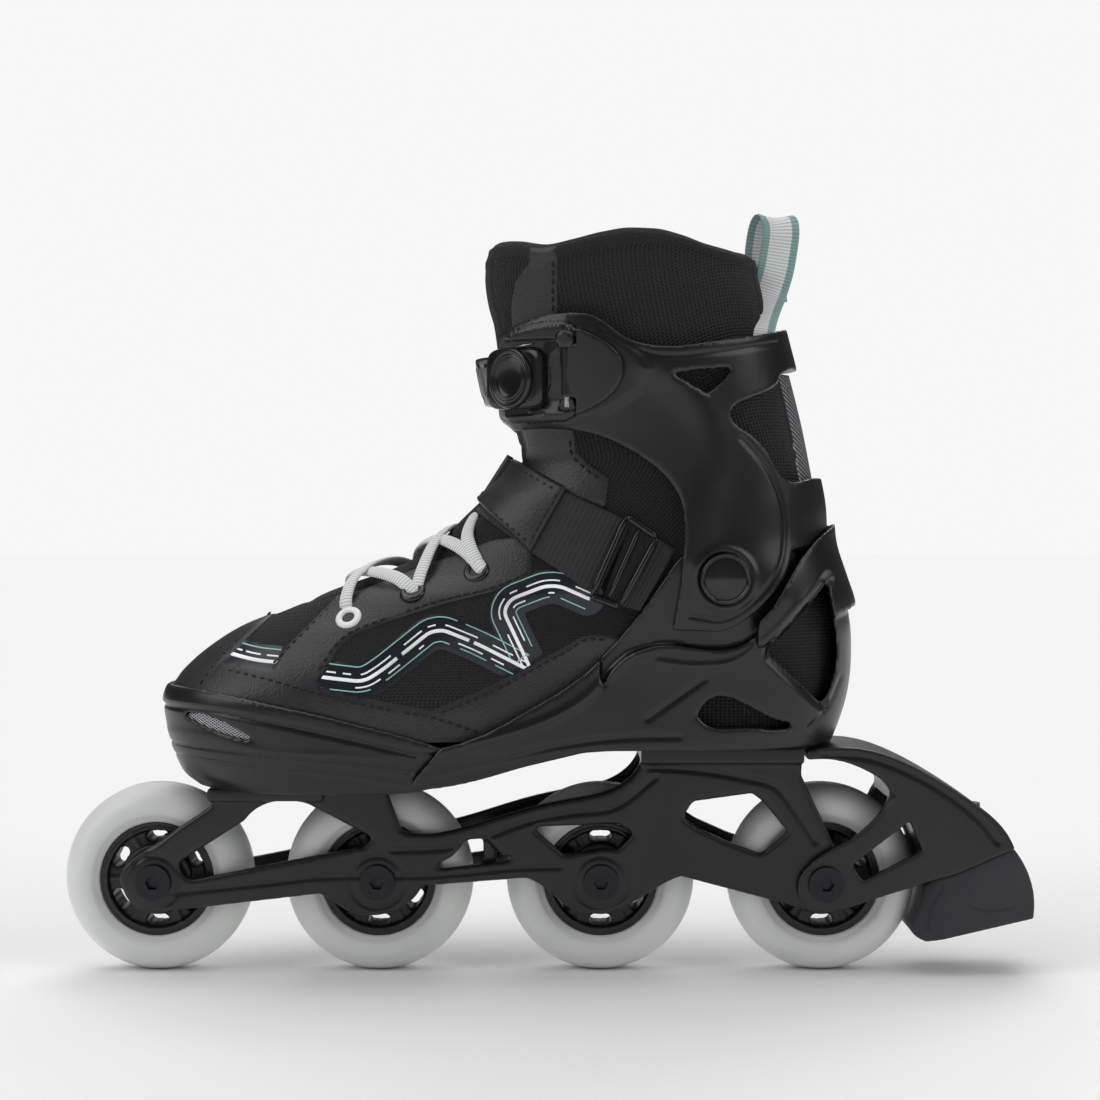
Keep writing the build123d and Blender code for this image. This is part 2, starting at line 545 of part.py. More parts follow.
def make_buckle():
    """Micro buckle on the near side: base, button with its spring, hinged lever and pin."""
    base_side = outline([(-17.5, 252.3), (-6, 256.5), (9.2, 257.3)], [(9.2, 257.3), (22, 251)],
                        [(22, 251), (26.5, 243), (26, 236.6), (20, 229.6)], [(20, 229.6), (9.6, 223.6)],
                        [(9.6, 223.6), (-4, 222.8), (-17.5, 223.4)])
    base = (body(BUCKLE_MID) & across(base_side, -80, -5)) - body(CUFF_OUT)
    well_y = -local_y(BUTTON_X + BUTTON_R, BUTTON_Z, CUFF_OUT) - 1.0
    button_y = well_y - SPRING_H - BUTTON_TRAVEL
    boss = rod(BUTTON_X, BUTTON_Z, BUTTON_R + 2.2, button_y - 1.0, -10) - body(CUFF_OUT + 0.05)
    well = rod(BUTTON_X, BUTTON_Z, BUTTON_R + RUNNING_GAP, button_y - 12, well_y)
    pin_y = -local_y(HINGE_X, 240, BUCKLE_MID) - HINGE_RISE
    base = base + boss - well
    for z in (226.5, 250.8):
        lug = block(HINGE_X - HINGE_R, HINGE_X + HINGE_R, pin_y - HINGE_R, pin_y + 8, z, z + 3.2)
        base = base + (lug - body(CUFF_OUT + 0.05))
    base = base - Solid.make_cylinder(HINGE_R + 0.5, 21.1, Plane((HINGE_X, pin_y, 229.7)))
    base = base - Solid.make_cylinder(1.25, 40, Plane((HINGE_X, pin_y, 220)))
    save("buckle_base", Compound(solids_of(base)[:1]))
    save("buckle_pin", Solid.make_cylinder(1.25, 27.5, Plane((HINGE_X, pin_y, 226.5))))
    save("buckle_button", rod(BUTTON_X, BUTTON_Z, BUTTON_R, button_y - BUTTON_H, button_y))
    save("buckle_spring", ring(BUTTON_X, BUTTON_Z, 3.0, 5.5, well_y - SPRING_H + 0.1, well_y))
    lever = (body(BUCKLE_OUT) & across(lever_outline(), -80, -5)) - body(BUCKLE_MID + 0.5)
    for z0, z1 in ((220, 230.2), (250.3, 262)):
        lever = lever - block(-20, HINGE_X + HINGE_R + 1.0, -80, -5, z0, z1)
    lever = lever + Solid.make_cylinder(HINGE_R, 20.0, Plane((HINGE_X, pin_y, 230.25)))
    lever = lever - Solid.make_cylinder(1.25 + RUNNING_GAP, 60, Plane((HINGE_X, pin_y, 210)))
    save("buckle_lever", Compound(solids_of(lever)[:1]))


def make_ladder_strap():
    """Toothed strap round the shin, from its anchor on the far side to the buckle on the near side."""
    band = across(polygon((-50, 228.5), (-9, 228.8), (-9, 247.2), (-50, 247.6)), -75, 75)
    strap = (body(BUCKLE_MID) & band) - body(CUFF_OUT)
    far_band = across(polygon((-16, 228.8), (24, 229.5), (24, 246.6), (-16, 247.4)), 5, 75)
    strap = strap - block(-20.8, 0, -75, 0, 200, 280)
    strap = strap + ((body(BUCKLE_MID) & far_band) - body(CUFF_OUT))
    save("ladder_strap", Compound(solids_of(strap)[:1]))
    y = local_y(14, 238, CUFF_OUT)
    screw = rod(14, 238, 4.5, y + 1.8, y + 5.0) - body(BUCKLE_MID)
    save("ladder_strap_screw", screw)


# ---------------------------------------------------------------- straps, lace and trim

def make_instep_strap():
    """Hook-and-loop strap over the instep, its ring and its anchor webbing."""
    strap_side = polygon((-50, 190), (-30, 187.8), (-6.6, 171.6), (17.3, 155.2), (30.7, 183.7), (6.4, 194.5),
                         (-16.5, 208.6), (-40, 215))
    strap = (body(1.6) & (across(strap_side, -75, 75) & wedge(FOOT_FRONT - 0.8, 300))) - body(-1.4)
    strap = strap - block(17, 60, -5, 75, 140, 215)
    save("instep_strap", Compound(solids_of(strap)[:1]))
    ring_side = polygon((17.6, 153.6), (28.6, 149.6), (42.6, 175.6), (31.2, 184.2))
    hole_1 = polygon((20.6, 156.0), (23.6, 154.4), (35.6, 178.6), (32.0, 180.6))
    buckle = (body(4.4) & across(ring_side, -75, -10)) - body(WALL + 0.3)
    save("strap_ring", Compound(solids_of(buckle - across(hole_1, -75, -5))[:1]))
    anchor_side = polygon((29.6, 150.6), (34, 147.6), (52.3, 170.8), (41.6, 173.9))
    anchor = (body(1.6) & across(anchor_side, -75, -10)) - body(-1.4)
    anchor = anchor - (body(WALL) & block(30, 70, -75, 75, 100, 152))
    wing = across(polygon(*WING_RIM[2:6], (120, 176), (120, 120), (41, 120)), -75, 75)
    save("strap_anchor", Compound(solids_of(anchor - wing)[:1]))


EYELETS = [(-77.1, 144.6), (-52.0, 154.6), (-27.0, 163.0)]


def make_eyelets():
    """Ring eyelets on both eyestays."""
    rings = []
    for x, z in EYELETS:
        y = local_y(x, z, SOFT)
        for sign in (-1, 1):
            lean = Plane((x, sign * (y + 0.1), z), x_dir=(1, 0, 0), z_dir=(-0.35, sign * 0.62, 0.70)).offset(0.8)
            rings.append(Solid.make_cylinder(5.4, 1.2, lean) - Solid.make_cylinder(3.0, 6, lean.offset(-2)))
    save("eyelets", *rings)


def rounded_route(points):
    """Straight runs joined by the largest tangent arcs that the runs allow."""
    edges = []
    start = Vector(*points[0])
    for a, b, c in zip(points, points[1:], points[2:]):
        a, b, c = Vector(*a), Vector(*b), Vector(*c)
        back, ahead = (a - b), (c - b)
        cut = 0.45 * min(back.length, ahead.length)
        p = b + back.normalized() * cut
        q = b + ahead.normalized() * cut
        edges.append(Edge.make_line(start, p))
        edges.append(Edge.make_tangent_arc(p, (b - a).normalized(), q))
        start = q
    edges.append(Edge.make_line(start, Vector(*points[-1])))
    return Wire(edges)


LACE_R = 2.0
LACE = [(-84, -24, 151), (-76, -12, 160.6), (-71, 12, 162.6), (-62, 27, 158), (-54, 14, 170.2), (-50, -12, 172.2),
        (-45, -29, 163), (-41, -14, 175.7), (-38, 12, 177.2), (-33, 29, 167)]


def make_lace():
    """The lace, zig-zag over the tongue."""
    route = rounded_route(LACE)
    start = Plane(origin=LACE[0], z_dir=route % 0)
    section = Face(Wire.make_circle(LACE_R, start))
    save("lace", Solid.sweep(section, route))


def make_trim():
    """Pull loop at the back of the shaft and the reflective strip below it."""
    strip = (body(SOFT + 1.3) & block(90, 125, -9, 9, 206, 238)) - body(SOFT + 0.2)
    save("reflective_strip", strip)
    band = across(polygon((75.5, 252), (90, 252), (94, 272), (103, 302), (88, 302), (80, 272)), -20, 20)
    bend = Plane((60, 0, 296.3), x_dir=(0, 1, 0), z_dir=(1, 0, 0))
    outer = block(60, 110, -5.5, 5.5, 252, 296.3) + Solid.make_cylinder(5.5, 50, bend)
    hole = block(60, 110, -3.3, 3.3, 240, 296.3) + Solid.make_cylinder(3.3, 50, bend)
    loop = ((outer - hole) & band) - body(SOFT + 0.2)
    save("pull_loop", Compound(solids_of(loop)[:1]))


# ---------------------------------------------------------------- size lock

LOCK_X = -18.0
LOCK_Z = 97.0
LOCK_TRAVEL = 2.5


def lock_slot():
    """Bore for the size lock button in the far arm of the heel shell."""
    return rod(LOCK_X, LOCK_Z, 5.0 + RUNNING_GAP, 30, 75)


def make_size_lock():
    """Push button on the far side that frees the toe shell."""
    y = local_y(LOCK_X, LOCK_Z, OUTER)
    save("size_lock_button", rod(LOCK_X, LOCK_Z, 5.0, y - 4.0, y + 1.6))


make_frame()
make_wheels()
make_axles()
make_mount_bolts()
make_brake()
make_heel_shell()
make_toe_shell()
make_uppers()
make_cuff()
make_buckle()
make_ladder_strap()
make_instep_strap()
make_eyelets()
make_lace()
make_trim()
make_size_lock()
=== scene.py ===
import math
import bmesh
import bpy
import numpy as np
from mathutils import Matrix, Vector


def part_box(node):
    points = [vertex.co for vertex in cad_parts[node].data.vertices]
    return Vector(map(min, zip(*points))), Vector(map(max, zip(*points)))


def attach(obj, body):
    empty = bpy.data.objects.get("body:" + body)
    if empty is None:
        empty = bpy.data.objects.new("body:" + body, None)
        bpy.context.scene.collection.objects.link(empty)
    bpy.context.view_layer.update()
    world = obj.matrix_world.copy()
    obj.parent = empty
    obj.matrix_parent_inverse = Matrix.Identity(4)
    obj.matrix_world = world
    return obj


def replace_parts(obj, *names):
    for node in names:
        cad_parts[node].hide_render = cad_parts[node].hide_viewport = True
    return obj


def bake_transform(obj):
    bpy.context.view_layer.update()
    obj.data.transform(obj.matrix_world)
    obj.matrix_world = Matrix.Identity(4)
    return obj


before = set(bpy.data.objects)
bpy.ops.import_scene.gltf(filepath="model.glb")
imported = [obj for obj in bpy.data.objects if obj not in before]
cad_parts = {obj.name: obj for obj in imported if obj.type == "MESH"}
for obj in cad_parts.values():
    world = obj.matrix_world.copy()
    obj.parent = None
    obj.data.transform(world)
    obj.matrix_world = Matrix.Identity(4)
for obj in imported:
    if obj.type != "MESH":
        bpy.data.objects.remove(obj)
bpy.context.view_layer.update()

MM = 0.001

# ---------------------------------------------------------------- the boot's surface, in millimetres
# Front and back of the silhouette against height, and half widths, as in the CAD model.
FRONT = [(76, -137), (84, -145), (91, -148), (104, -151), (113, -151), (119, -148), (126, -141.5),
         (134, -131), (139, -122.5), (143, -113), (147, -103), (150, -96), (153, -88), (157, -74),
         (161, -62), (166, -52), (175, -39.5), (183, -31.5), (192, -22), (200, -13), (207, -9.5), (215, -11),
         (225, -14), (245, -18.5), (259, -20.5), (270, -22.5), (283, -23.8), (292, -22), (304, -22)]
BACK = [(76, 104), (92, 109), (105, 114), (116, 116.8), (127, 117.6), (138, 117.3), (149, 115.8),
        (158, 112.8), (166, 110), (175, 107.5), (190, 106.5), (200, 104.5), (220, 100.5), (242, 95),
        (261, 90), (283, 84.5), (292, 83), (304, 82)]
FOOT_W = [(-150, 45.5), (-110, 47.5), (-85, 47.5), (-40, 43), (0, 38.5), (40, 36.5), (115, 35.5)]
LEG_W = [(120, 37), (150, 41), (163, 42), (190, 40.5), (220, 41), (260, 43), (292, 44)]
# Upper rim of the padded shaft (x, z)
RIM = [(-26, 290.5), (-17.8, 293.6), (-10.2, 292.8), (2.8, 290.6), (13.7, 292.2), (26.7, 294.8),
       (38.6, 296.2), (49.4, 296), (60.3, 294), (71.1, 291), (84, 289)]


def smooth_table(table):
    """Monotone cubic through a table of (key, value)."""
    keys = np.array([k for k, _ in table], float)
    vals = np.array([v for _, v in table], float)
    step = np.diff(keys)
    slope = np.diff(vals) / step
    tangent = np.zeros(len(keys))
    tangent[0], tangent[-1] = slope[0], slope[-1]
    for i in range(1, len(keys) - 1):
        if slope[i - 1] * slope[i] > 0:
            tangent[i] = 2 * slope[i - 1] * slope[i] / (slope[i - 1] + slope[i])

    def value(q):
        q = np.clip(np.asarray(q, float), keys[0], keys[-1])
        i = np.clip(np.searchsorted(keys, q) - 1, 0, len(step) - 1)
        t = (q - keys[i]) / step[i]
        h = step[i]
        return ((2 * t**3 - 3 * t**2 + 1) * vals[i] + (t**3 - 2 * t**2 + t) * h * tangent[i]
                + (-2 * t**3 + 3 * t**2) * vals[i + 1] + (t**3 - t**2) * h * tangent[i + 1])

    return value


front_at = smooth_table(FRONT)
back_at = smooth_table(BACK)
foot_at = smooth_table(FOOT_W)
leg_at = smooth_table(LEG_W)
rim_at = smooth_table(RIM)


def ease(value, low, high):
    """Smooth step from 0 at low to 1 at high."""
    t = np.clip((np.asarray(value, float) - low) / (high - low), 0, 1)
    return t * t * (3 - 2 * t)


def half_y(x, z, grow):
    """Distance of the boot's grown surface from the middle plane."""
    front = front_at(z) - grow
    back = back_at(z) + grow
    nose = 62 + 38 * ease(z, 114, 145) - 42 * ease(z, 160, 205) + grow
    tail = 46 + 6 * ease(z, 150, 210) + grow
    u = np.clip((x - front) / nose, 0, 1)
    v = np.clip((back - x) / tail, 0, 1)
    run_in = np.maximum(0, 1 - (1 - u) ** 2.15) ** (1 / 2.15)
    run_out = np.sqrt(np.maximum(0, 1 - (1 - v) ** 2))
    foot = foot_at(x) * (1 - 0.15 * (1 - ease(z, 70, 96)))
    mix = ease(z, 108, 158)
    return (foot * (1 - mix) + leg_at(z) * mix + grow) * run_in * run_out


def polyline_distance(points, x, z):
    """Distance in the side view from (x, z) to an open line."""
    best = np.full(np.shape(x), 1e9)
    for (x0, z0), (x1, z1) in zip(points, points[1:]):
        dx, dz = x1 - x0, z1 - z0
        t = np.clip(((x - x0) * dx + (z - z0) * dz) / (dx * dx + dz * dz), 0, 1)
        best = np.minimum(best, np.hypot(x - x0 - t * dx, z - z0 - t * dz))
    return best


def inside_depth(points, x, z):
    """Signed distance to a closed outline in the side view, positive inside."""
    ring = list(points) + [points[0]]
    inside = np.zeros(np.shape(x), bool)
    for (x0, z0), (x1, z1) in zip(ring, ring[1:]):
        crosses = (z0 > z) != (z1 > z)
        with np.errstate(divide="ignore", invalid="ignore"):
            at = x0 + (z - z0) * (x1 - x0) / (z1 - z0 if z1 != z0 else 1e-9)
        inside ^= crosses & (x < at)
    depth = polyline_distance(ring, x, z)
    return np.where(inside, depth, -depth)


def curve_points(points, step=1.0):
    """A smooth line through given points, resampled at an even step."""
    pts = np.array(points, float)
    pad = np.vstack([2 * pts[0] - pts[1], pts, 2 * pts[-1] - pts[-2]])
    out = []
    for i in range(1, len(pad) - 2):
        a, b, c, d = pad[i - 1:i + 3]
        n = max(2, int(np.linalg.norm(c - b) / step))
        for t in np.linspace(0, 1, n, endpoint=False):
            out.append(0.5 * (2 * b + (c - a) * t + (2 * a - 5 * b + 4 * c - d) * t**2
                              + (3 * b - a - 3 * c + d) * t**3))
    out.append(pad[-2])
    return np.array(out)


def rounded_line(points, radius, step=0.8):
    """Straight runs with rounded corners, resampled at an even step."""
    pts = [np.array(p, float) for p in points]
    out = [pts[0]]
    for a, b, c in zip(pts, pts[1:], pts[2:]):
        back, ahead = a - b, c - b
        cut = min(radius, 0.45 * np.linalg.norm(back), 0.45 * np.linalg.norm(ahead))
        p = b + back / np.linalg.norm(back) * cut
        q = b + ahead / np.linalg.norm(ahead) * cut
        for t in np.linspace(0, 1, 9):
            out.append((1 - t) ** 2 * p + 2 * t * (1 - t) * b + t * t * q)
    out.append(pts[-1])
    out = np.array(out)
    run = np.concatenate([[0], np.cumsum(np.linalg.norm(np.diff(out, axis=0), axis=1))])
    at = np.arange(0, run[-1], step)
    return np.stack([np.interp(at, run, out[:, k]) for k in (0, 1)], axis=1)


# ---------------------------------------------------------------- materials

def new_material(name, color, rough, metallic=0.0, coat=0.0, spec=0.5):
    """A Principled material and its shader node."""
    mat = bpy.data.materials.new(name)
    mat.use_nodes = True
    bsdf = mat.node_tree.nodes["Principled BSDF"]
    bsdf.inputs["Base Color"].default_value = (*color, 1)
    bsdf.inputs["Roughness"].default_value = rough
    bsdf.inputs["Metallic"].default_value = metallic
    bsdf.inputs["Coat Weight"].default_value = coat
    bsdf.inputs["Specular IOR Level"].default_value = spec
    return mat, bsdf


def node(mat, kind, **inputs):
    """Add a node and set its inputs by name."""
    item = mat.node_tree.nodes.new(kind)
    for key, value in inputs.items():
        item.inputs[key.replace("_", " ")].default_value = value
    return item


def wire(mat, out, into):
    mat.node_tree.links.new(out, into)


def object_coords(mat):
    return node(mat, "ShaderNodeTexCoord").outputs["Object"]


def math_node(mat, operation, a, b=None):
    """A Math node fed by sockets or numbers."""
    item = mat.node_tree.nodes.new("ShaderNodeMath")
    item.operation = operation
    for i, value in enumerate((a, b)):
        if value is None:
            continue
        if isinstance(value, (int, float)):
            item.inputs[i].default_value = value
        else:
            wire(mat, value, item.inputs[i])
    return item.outputs[0]


def noise(mat, scale, detail=4.0):
    item = node(mat, "ShaderNodeTexNoise", Scale=scale, Detail=detail)
    wire(mat, object_coords(mat), item.inputs["Vector"])
    return item.outputs["Fac"]


def ramp(mat, source, low, high, color_low, color_high):
    """A two-stop colour ramp."""
    item = mat.node_tree.nodes.new("ShaderNodeValToRGB")
    item.color_ramp.elements[0].position = low
    item.color_ramp.elements[1].position = high
    item.color_ramp.elements[0].color = (*color_low, 1)
    item.color_ramp.elements[1].color = (*color_high, 1)
    wire(mat, source, item.inputs["Fac"])
    return item.outputs["Color"]


def spread(mat, source, low, high):
    """Map 0..1 to low..high."""
    item = node(mat, "ShaderNodeMapRange")
    item.inputs["To Min"].default_value = low
    item.inputs["To Max"].default_value = high
    wire(mat, source, item.inputs["Value"])
    return item.outputs["Result"]


def mixed(mat, factor, a, b, color=True):
    """Mix of two colours, or of two numbers, each a socket or a constant."""
    item = node(mat, "ShaderNodeMix")
    if color:
        item.data_type = "RGBA"
    for key, value in (("Factor", factor), ("A", a), ("B", b)):
        if isinstance(value, tuple):
            item.inputs[key].default_value = (*value, 1)
        elif isinstance(value, (int, float)):
            item.inputs[key].default_value = value
        else:
            wire(mat, value, item.inputs[key])
    return item.outputs["Result"]


def bump(mat, height, strength, distance, normal=None):
    item = node(mat, "ShaderNodeBump", Strength=strength, Distance=distance)
    wire(mat, height, item.inputs["Height"])
    if normal is not None:
        wire(mat, normal, item.inputs["Normal"])
    return item.outputs["Normal"]


def moulded_plastic(name, color, rough, grain=0.12):
    """Moulded plastic: fine spark-eroded grain, slight mottling, and a painted highlight: edges painted
    lighter where the mesh is pointy.
    """
    mat, bsdf = new_material(name, color, rough)
    # painted highlight: pointy edges are painted up to 2.2 times lighter, standing for light caught on the
    # edges
    edge_highlight = tuple(min(1, c * 2.2 + 0.01) for c in color)
    edge = node(mat, "ShaderNodeNewGeometry").outputs["Pointiness"]
    highlighted_edge_color = ramp(mat, edge, 0.505, 0.56, color, edge_highlight)
    mottle = ramp(mat, noise(mat, 60), 0.3, 0.7, tuple(c * 0.75 for c in color),
                  tuple(c * 1.3 for c in color))
    wire(mat, mixed(mat, 0.35, highlighted_edge_color, mottle), bsdf.inputs["Base Color"])
    wire(mat, spread(mat, noise(mat, 35), rough - 0.07, rough + 0.08), bsdf.inputs["Roughness"])
    wire(mat, bump(mat, noise(mat, 2600, 2), grain, 0.00006), bsdf.inputs["Normal"])
    return mat


def metal(name, color, rough):
    """Turned or plated metal with faint brushing."""
    mat, bsdf = new_material(name, color, rough, metallic=1.0)
    wire(mat, spread(mat, noise(mat, 400), rough - 0.08, rough + 0.12), bsdf.inputs["Roughness"])
    wire(mat, bump(mat, noise(mat, 3000, 1), 0.1, 0.00004), bsdf.inputs["Normal"])
    return mat


def urethane(name):
    """Milky urethane tyre with a soft glow and a faintly mottled tone."""
    mat, bsdf = new_material(name, (0.80, 0.815, 0.80), 0.38)
    bsdf.inputs["Subsurface Weight"].default_value = 0.6
    bsdf.inputs["Subsurface Radius"].default_value = (0.006, 0.006, 0.0055)
    bsdf.inputs["Subsurface Scale"].default_value = 1.0
    shade = ramp(mat, noise(mat, 25), 0.3, 0.75, (0.74, 0.76, 0.75), (0.84, 0.85, 0.835))
    wire(mat, shade, bsdf.inputs["Base Color"])
    wire(mat, spread(mat, noise(mat, 90), 0.3, 0.5), bsdf.inputs["Roughness"])
    wire(mat, bump(mat, noise(mat, 1500, 2), 0.12, 0.00005), bsdf.inputs["Normal"])
    return mat


def rubber(name, color):
    """Moulded brake rubber with a dusty, slightly uneven face."""
    mat, bsdf = new_material(name, color, 0.55)
    wire(mat, ramp(mat, noise(mat, 45), 0.3, 0.8, color, tuple(c * 1.9 for c in color)),
         bsdf.inputs["Base Color"])
    wire(mat, spread(mat, noise(mat, 70), 0.42, 0.62), bsdf.inputs["Roughness"])
    wire(mat, bump(mat, noise(mat, 900, 3), 0.25, 0.00008), bsdf.inputs["Normal"])
    return mat


def woven(name, color, pitch, rough=0.75, lift=0.0003, tint=None):
    """Ribbed webbing or braid: rows across the piece's own length, from the mesh's run attribute; the troughs
    between ribs are painted darker as painted shade.
    """
    mat, bsdf = new_material(name, color, rough)
    bsdf.inputs["Sheen Weight"].default_value = 0.12
    run = node(mat, "ShaderNodeAttribute")
    run.attribute_name = "run"
    side = node(mat, "ShaderNodeAttribute")
    side.attribute_name = "side"
    ribs = math_node(mat, "SINE", math_node(mat, "MULTIPLY", run.outputs["Fac"], 2 * math.pi / pitch))
    cross = math_node(mat, "SINE", math_node(mat, "MULTIPLY", side.outputs["Fac"],
                                             2 * math.pi / (pitch * 0.8)))
    weave = math_node(mat, "MULTIPLY", ribs, math_node(mat, "ADD", math_node(mat, "MULTIPLY", cross, 0.35),
                                                       0.65))
    height = math_node(mat, "ADD", math_node(mat, "MULTIPLY", weave, 0.5), 0.5)
    # painted shade: colour darkens with the weave's height, so the troughs between ribs are painted darker
    trough_shade = tuple(c * 0.55 for c in color)
    base = ramp(mat, height, 0.1, 0.8, trough_shade, color)
    if tint is not None:
        wide = math_node(mat, "GREATER_THAN", math_node(mat, "ABSOLUTE", side.outputs["Fac"]), tint[0])
        # the coloured edges get the same painted shade in their troughs
        edge = ramp(mat, height, 0.1, 0.8, tuple(c * 0.6 for c in tint[1]), tint[1])
        base = mixed(mat, wide, base, edge)
    wire(mat, base, bsdf.inputs["Base Color"])
    fuzz = bump(mat, noise(mat, 1800, 2), 0.25, 0.0001)
    wire(mat, bump(mat, height, 0.8, lift, fuzz), bsdf.inputs["Normal"])
    return mat


def boot_skin_material(name):
    """Boot fabric: open knit, with smooth leather-look panels and printed film where the mesh says."""
    mat, bsdf = new_material(name, (0.012, 0.012, 0.014), 0.7)

    def attribute(key):
        item = node(mat, "ShaderNodeAttribute")
        item.attribute_name = key
        return item.outputs["Fac"]

    def mask(key):
        return math_node(mat, "GREATER_THAN", attribute(key), 0.0)

    u = math_node(mat, "MULTIPLY", attribute("girth"), 2 * math.pi / 3.5)
    v = math_node(mat, "MULTIPLY", attribute("rise"), 2 * math.pi / 2.7)
    cell = math_node(mat, "MULTIPLY", math_node(mat, "COSINE", u), math_node(mat, "COSINE", v))
    hole = math_node(mat, "ABSOLUTE", cell)
    knit_height = math_node(mat, "SUBTRACT", 1.0, math_node(mat, "POWER", hole, 1.4))
    # painted shade: the knit's holes, the low parts of its bump, are painted near black
    knit_color = ramp(mat, hole, 0.30, 0.85, (0.016, 0.016, 0.018), (0.0008, 0.0008, 0.001))
    grain = node(mat, "ShaderNodeTexVoronoi", Scale=900.0)
    wire(mat, object_coords(mat), grain.inputs["Vector"])
    leather_color = ramp(mat, noise(mat, 50), 0.3, 0.75, (0.017, 0.017, 0.019), (0.027, 0.027, 0.030))

    leather, film, plain = mask("leather"), mask("film"), mask("plain")
    color = mixed(mat, plain, knit_color, (0.010, 0.010, 0.012))
    color = mixed(mat, leather, color, leather_color)
    color = mixed(mat, film, color, (0.010, 0.013, 0.022))
    rough = mixed(mat, film, mixed(mat, leather, 0.82, 0.42, False), 0.3, False)
    height = mixed(mat, plain, knit_height, noise(mat, 1500, 2), False)
    height = mixed(mat, leather, height, grain.outputs["Distance"], False)
    depth = mixed(mat, film, mixed(mat, leather, 1.0, 0.16, False), 0.03, False)
    wire(mat, color, bsdf.inputs["Base Color"])
    wire(mat, rough, bsdf.inputs["Roughness"])
    bump_node = node(mat, "ShaderNodeBump", Distance=0.0009)
    wire(mat, height, bump_node.inputs["Height"])
    wire(mat, depth, bump_node.inputs["Strength"])
    wire(mat, bump_node.outputs["Normal"], bsdf.inputs["Normal"])
    return mat


SHELL = moulded_plastic("shell_plastic", (0.0055, 0.0055, 0.0065), 0.30)
FRAME_PLASTIC = moulded_plastic("frame_plastic", (0.0048, 0.0048, 0.006), 0.33)
GLOSS = moulded_plastic("gloss_plastic", (0.005, 0.005, 0.006), 0.2, grain=0.04)
HUB = moulded_plastic("hub_plastic", (0.007, 0.007, 0.009), 0.40)
TYRE = urethane("milky_urethane")
PAD = rubber("brake_rubber", (0.018, 0.018, 0.022))
STEEL = metal("ground_steel", (0.55, 0.55, 0.56), 0.3)
BLACK_STEEL = metal("black_steel", (0.035, 0.035, 0.04), 0.35)
SILVER = metal("silver_mesh", (0.5, 0.5, 0.52), 0.35)
SKIN = boot_skin_material("boot_fabric")
WEBBING = woven("black_webbing", (0.02, 0.02, 0.023), 1.9)
LACE_CLOTH = woven("white_lace", (0.94, 0.95, 0.96), 1.3, lift=0.00007)
LOOP_CLOTH = woven("loop_webbing", (0.93, 0.94, 0.95), 1.3, lift=0.00007, tint=(4.4, (0.30, 0.47, 0.46)))
EYELET_WHITE = moulded_plastic("white_enamel", (0.82, 0.83, 0.83), 0.28, grain=0.03)
THREAD = rubber("black_thread", (0.0012, 0.0012, 0.0014))
WHITE_PRINT = rubber("white_print", (0.78, 0.79, 0.80))
TEAL_PRINT = rubber("teal_print", (0.22, 0.42, 0.40))


def reflective_tape(name):
    """Grey reflective tape with fine slanted stripes."""
    mat, bsdf = new_material(name, (0.3, 0.31, 0.33), 0.35, metallic=0.5)
    split = node(mat, "ShaderNodeSeparateXYZ")
    wire(mat, object_coords(mat), split.inputs["Vector"])
    slant = math_node(mat, "ADD", split.outputs["Z"], math_node(mat, "MULTIPLY", split.outputs["Y"], 0.9))
    stripe = math_node(mat, "SINE", math_node(mat, "MULTIPLY", slant, 2 * math.pi / 0.0021))
    wire(mat, ramp(mat, stripe, 0.3, 0.6, (0.10, 0.105, 0.11), (0.42, 0.43, 0.45)), bsdf.inputs["Base Color"])
    wire(mat, bump(mat, stripe, 0.4, 0.0001), bsdf.inputs["Normal"])
    return mat


TAPE = reflective_tape("reflective_tape")


# ---------------------------------------------------------------- mesh helpers

def make_object(name, verts_mm, faces, material, body):
    """A mesh piece from millimetre coordinates, riding on a body."""
    mesh = bpy.data.meshes.new(name)
    mesh.from_pydata([tuple(np.asarray(v) * MM) for v in verts_mm], [], faces)
    mesh.update()
    mesh.shade_smooth()
    piece = bpy.data.objects.new(name, mesh)
    bpy.context.scene.collection.objects.link(piece)
    mesh.materials.append(material)
    if body is not None:
        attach(piece, body)
    return piece


def set_attribute(piece, key, values):
    layer = piece.data.attributes.new(key, "FLOAT", "POINT")
    layer.data.foreach_set("value", np.ascontiguousarray(values, dtype=np.float32))


def coords(piece):
    """Vertex coordinates of a piece in millimetres."""
    out = np.empty(len(piece.data.vertices) * 3, np.float32)
    piece.data.vertices.foreach_get("co", out)
    return out.reshape(-1, 3).astype(float) / MM


def put_coords(piece, xyz):
    piece.data.vertices.foreach_set("co", np.ascontiguousarray(xyz * MM, dtype=np.float32).ravel())
    piece.data.update()


def normals(piece):
    out = np.empty(len(piece.data.vertices) * 3, np.float32)
    piece.data.vertex_normals.foreach_get("vector", out)
    return out.reshape(-1, 3).astype(float)


def apply_modifiers(piece):
    depsgraph = bpy.context.evaluated_depsgraph_get()
    mesh = bpy.data.meshes.new_from_object(piece.evaluated_get(depsgraph))
    old = piece.data
    piece.modifiers.clear()
    piece.data = mesh
    bpy.data.meshes.remove(old)


def rounded(name, cad, body, material, voxel, smooth=4):
    """A remeshed copy of a CAD node with softened edges, standing for that node."""
    source = bpy.data.objects[cad]
    piece = bpy.data.objects.new(name, source.data.copy())
    bpy.context.scene.collection.objects.link(piece)
    piece.data.materials.clear()
    piece.data.materials.append(material)
    remesh = piece.modifiers.new("remesh", "REMESH")
    remesh.mode = "VOXEL"
    remesh.voxel_size = voxel * MM
    relax = piece.modifiers.new("relax", "SMOOTH")
    relax.factor = 0.5
    relax.iterations = smooth
    apply_modifiers(piece)
    piece.data.shade_smooth()
    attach(piece, body)
    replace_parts(piece, cad)
    return piece


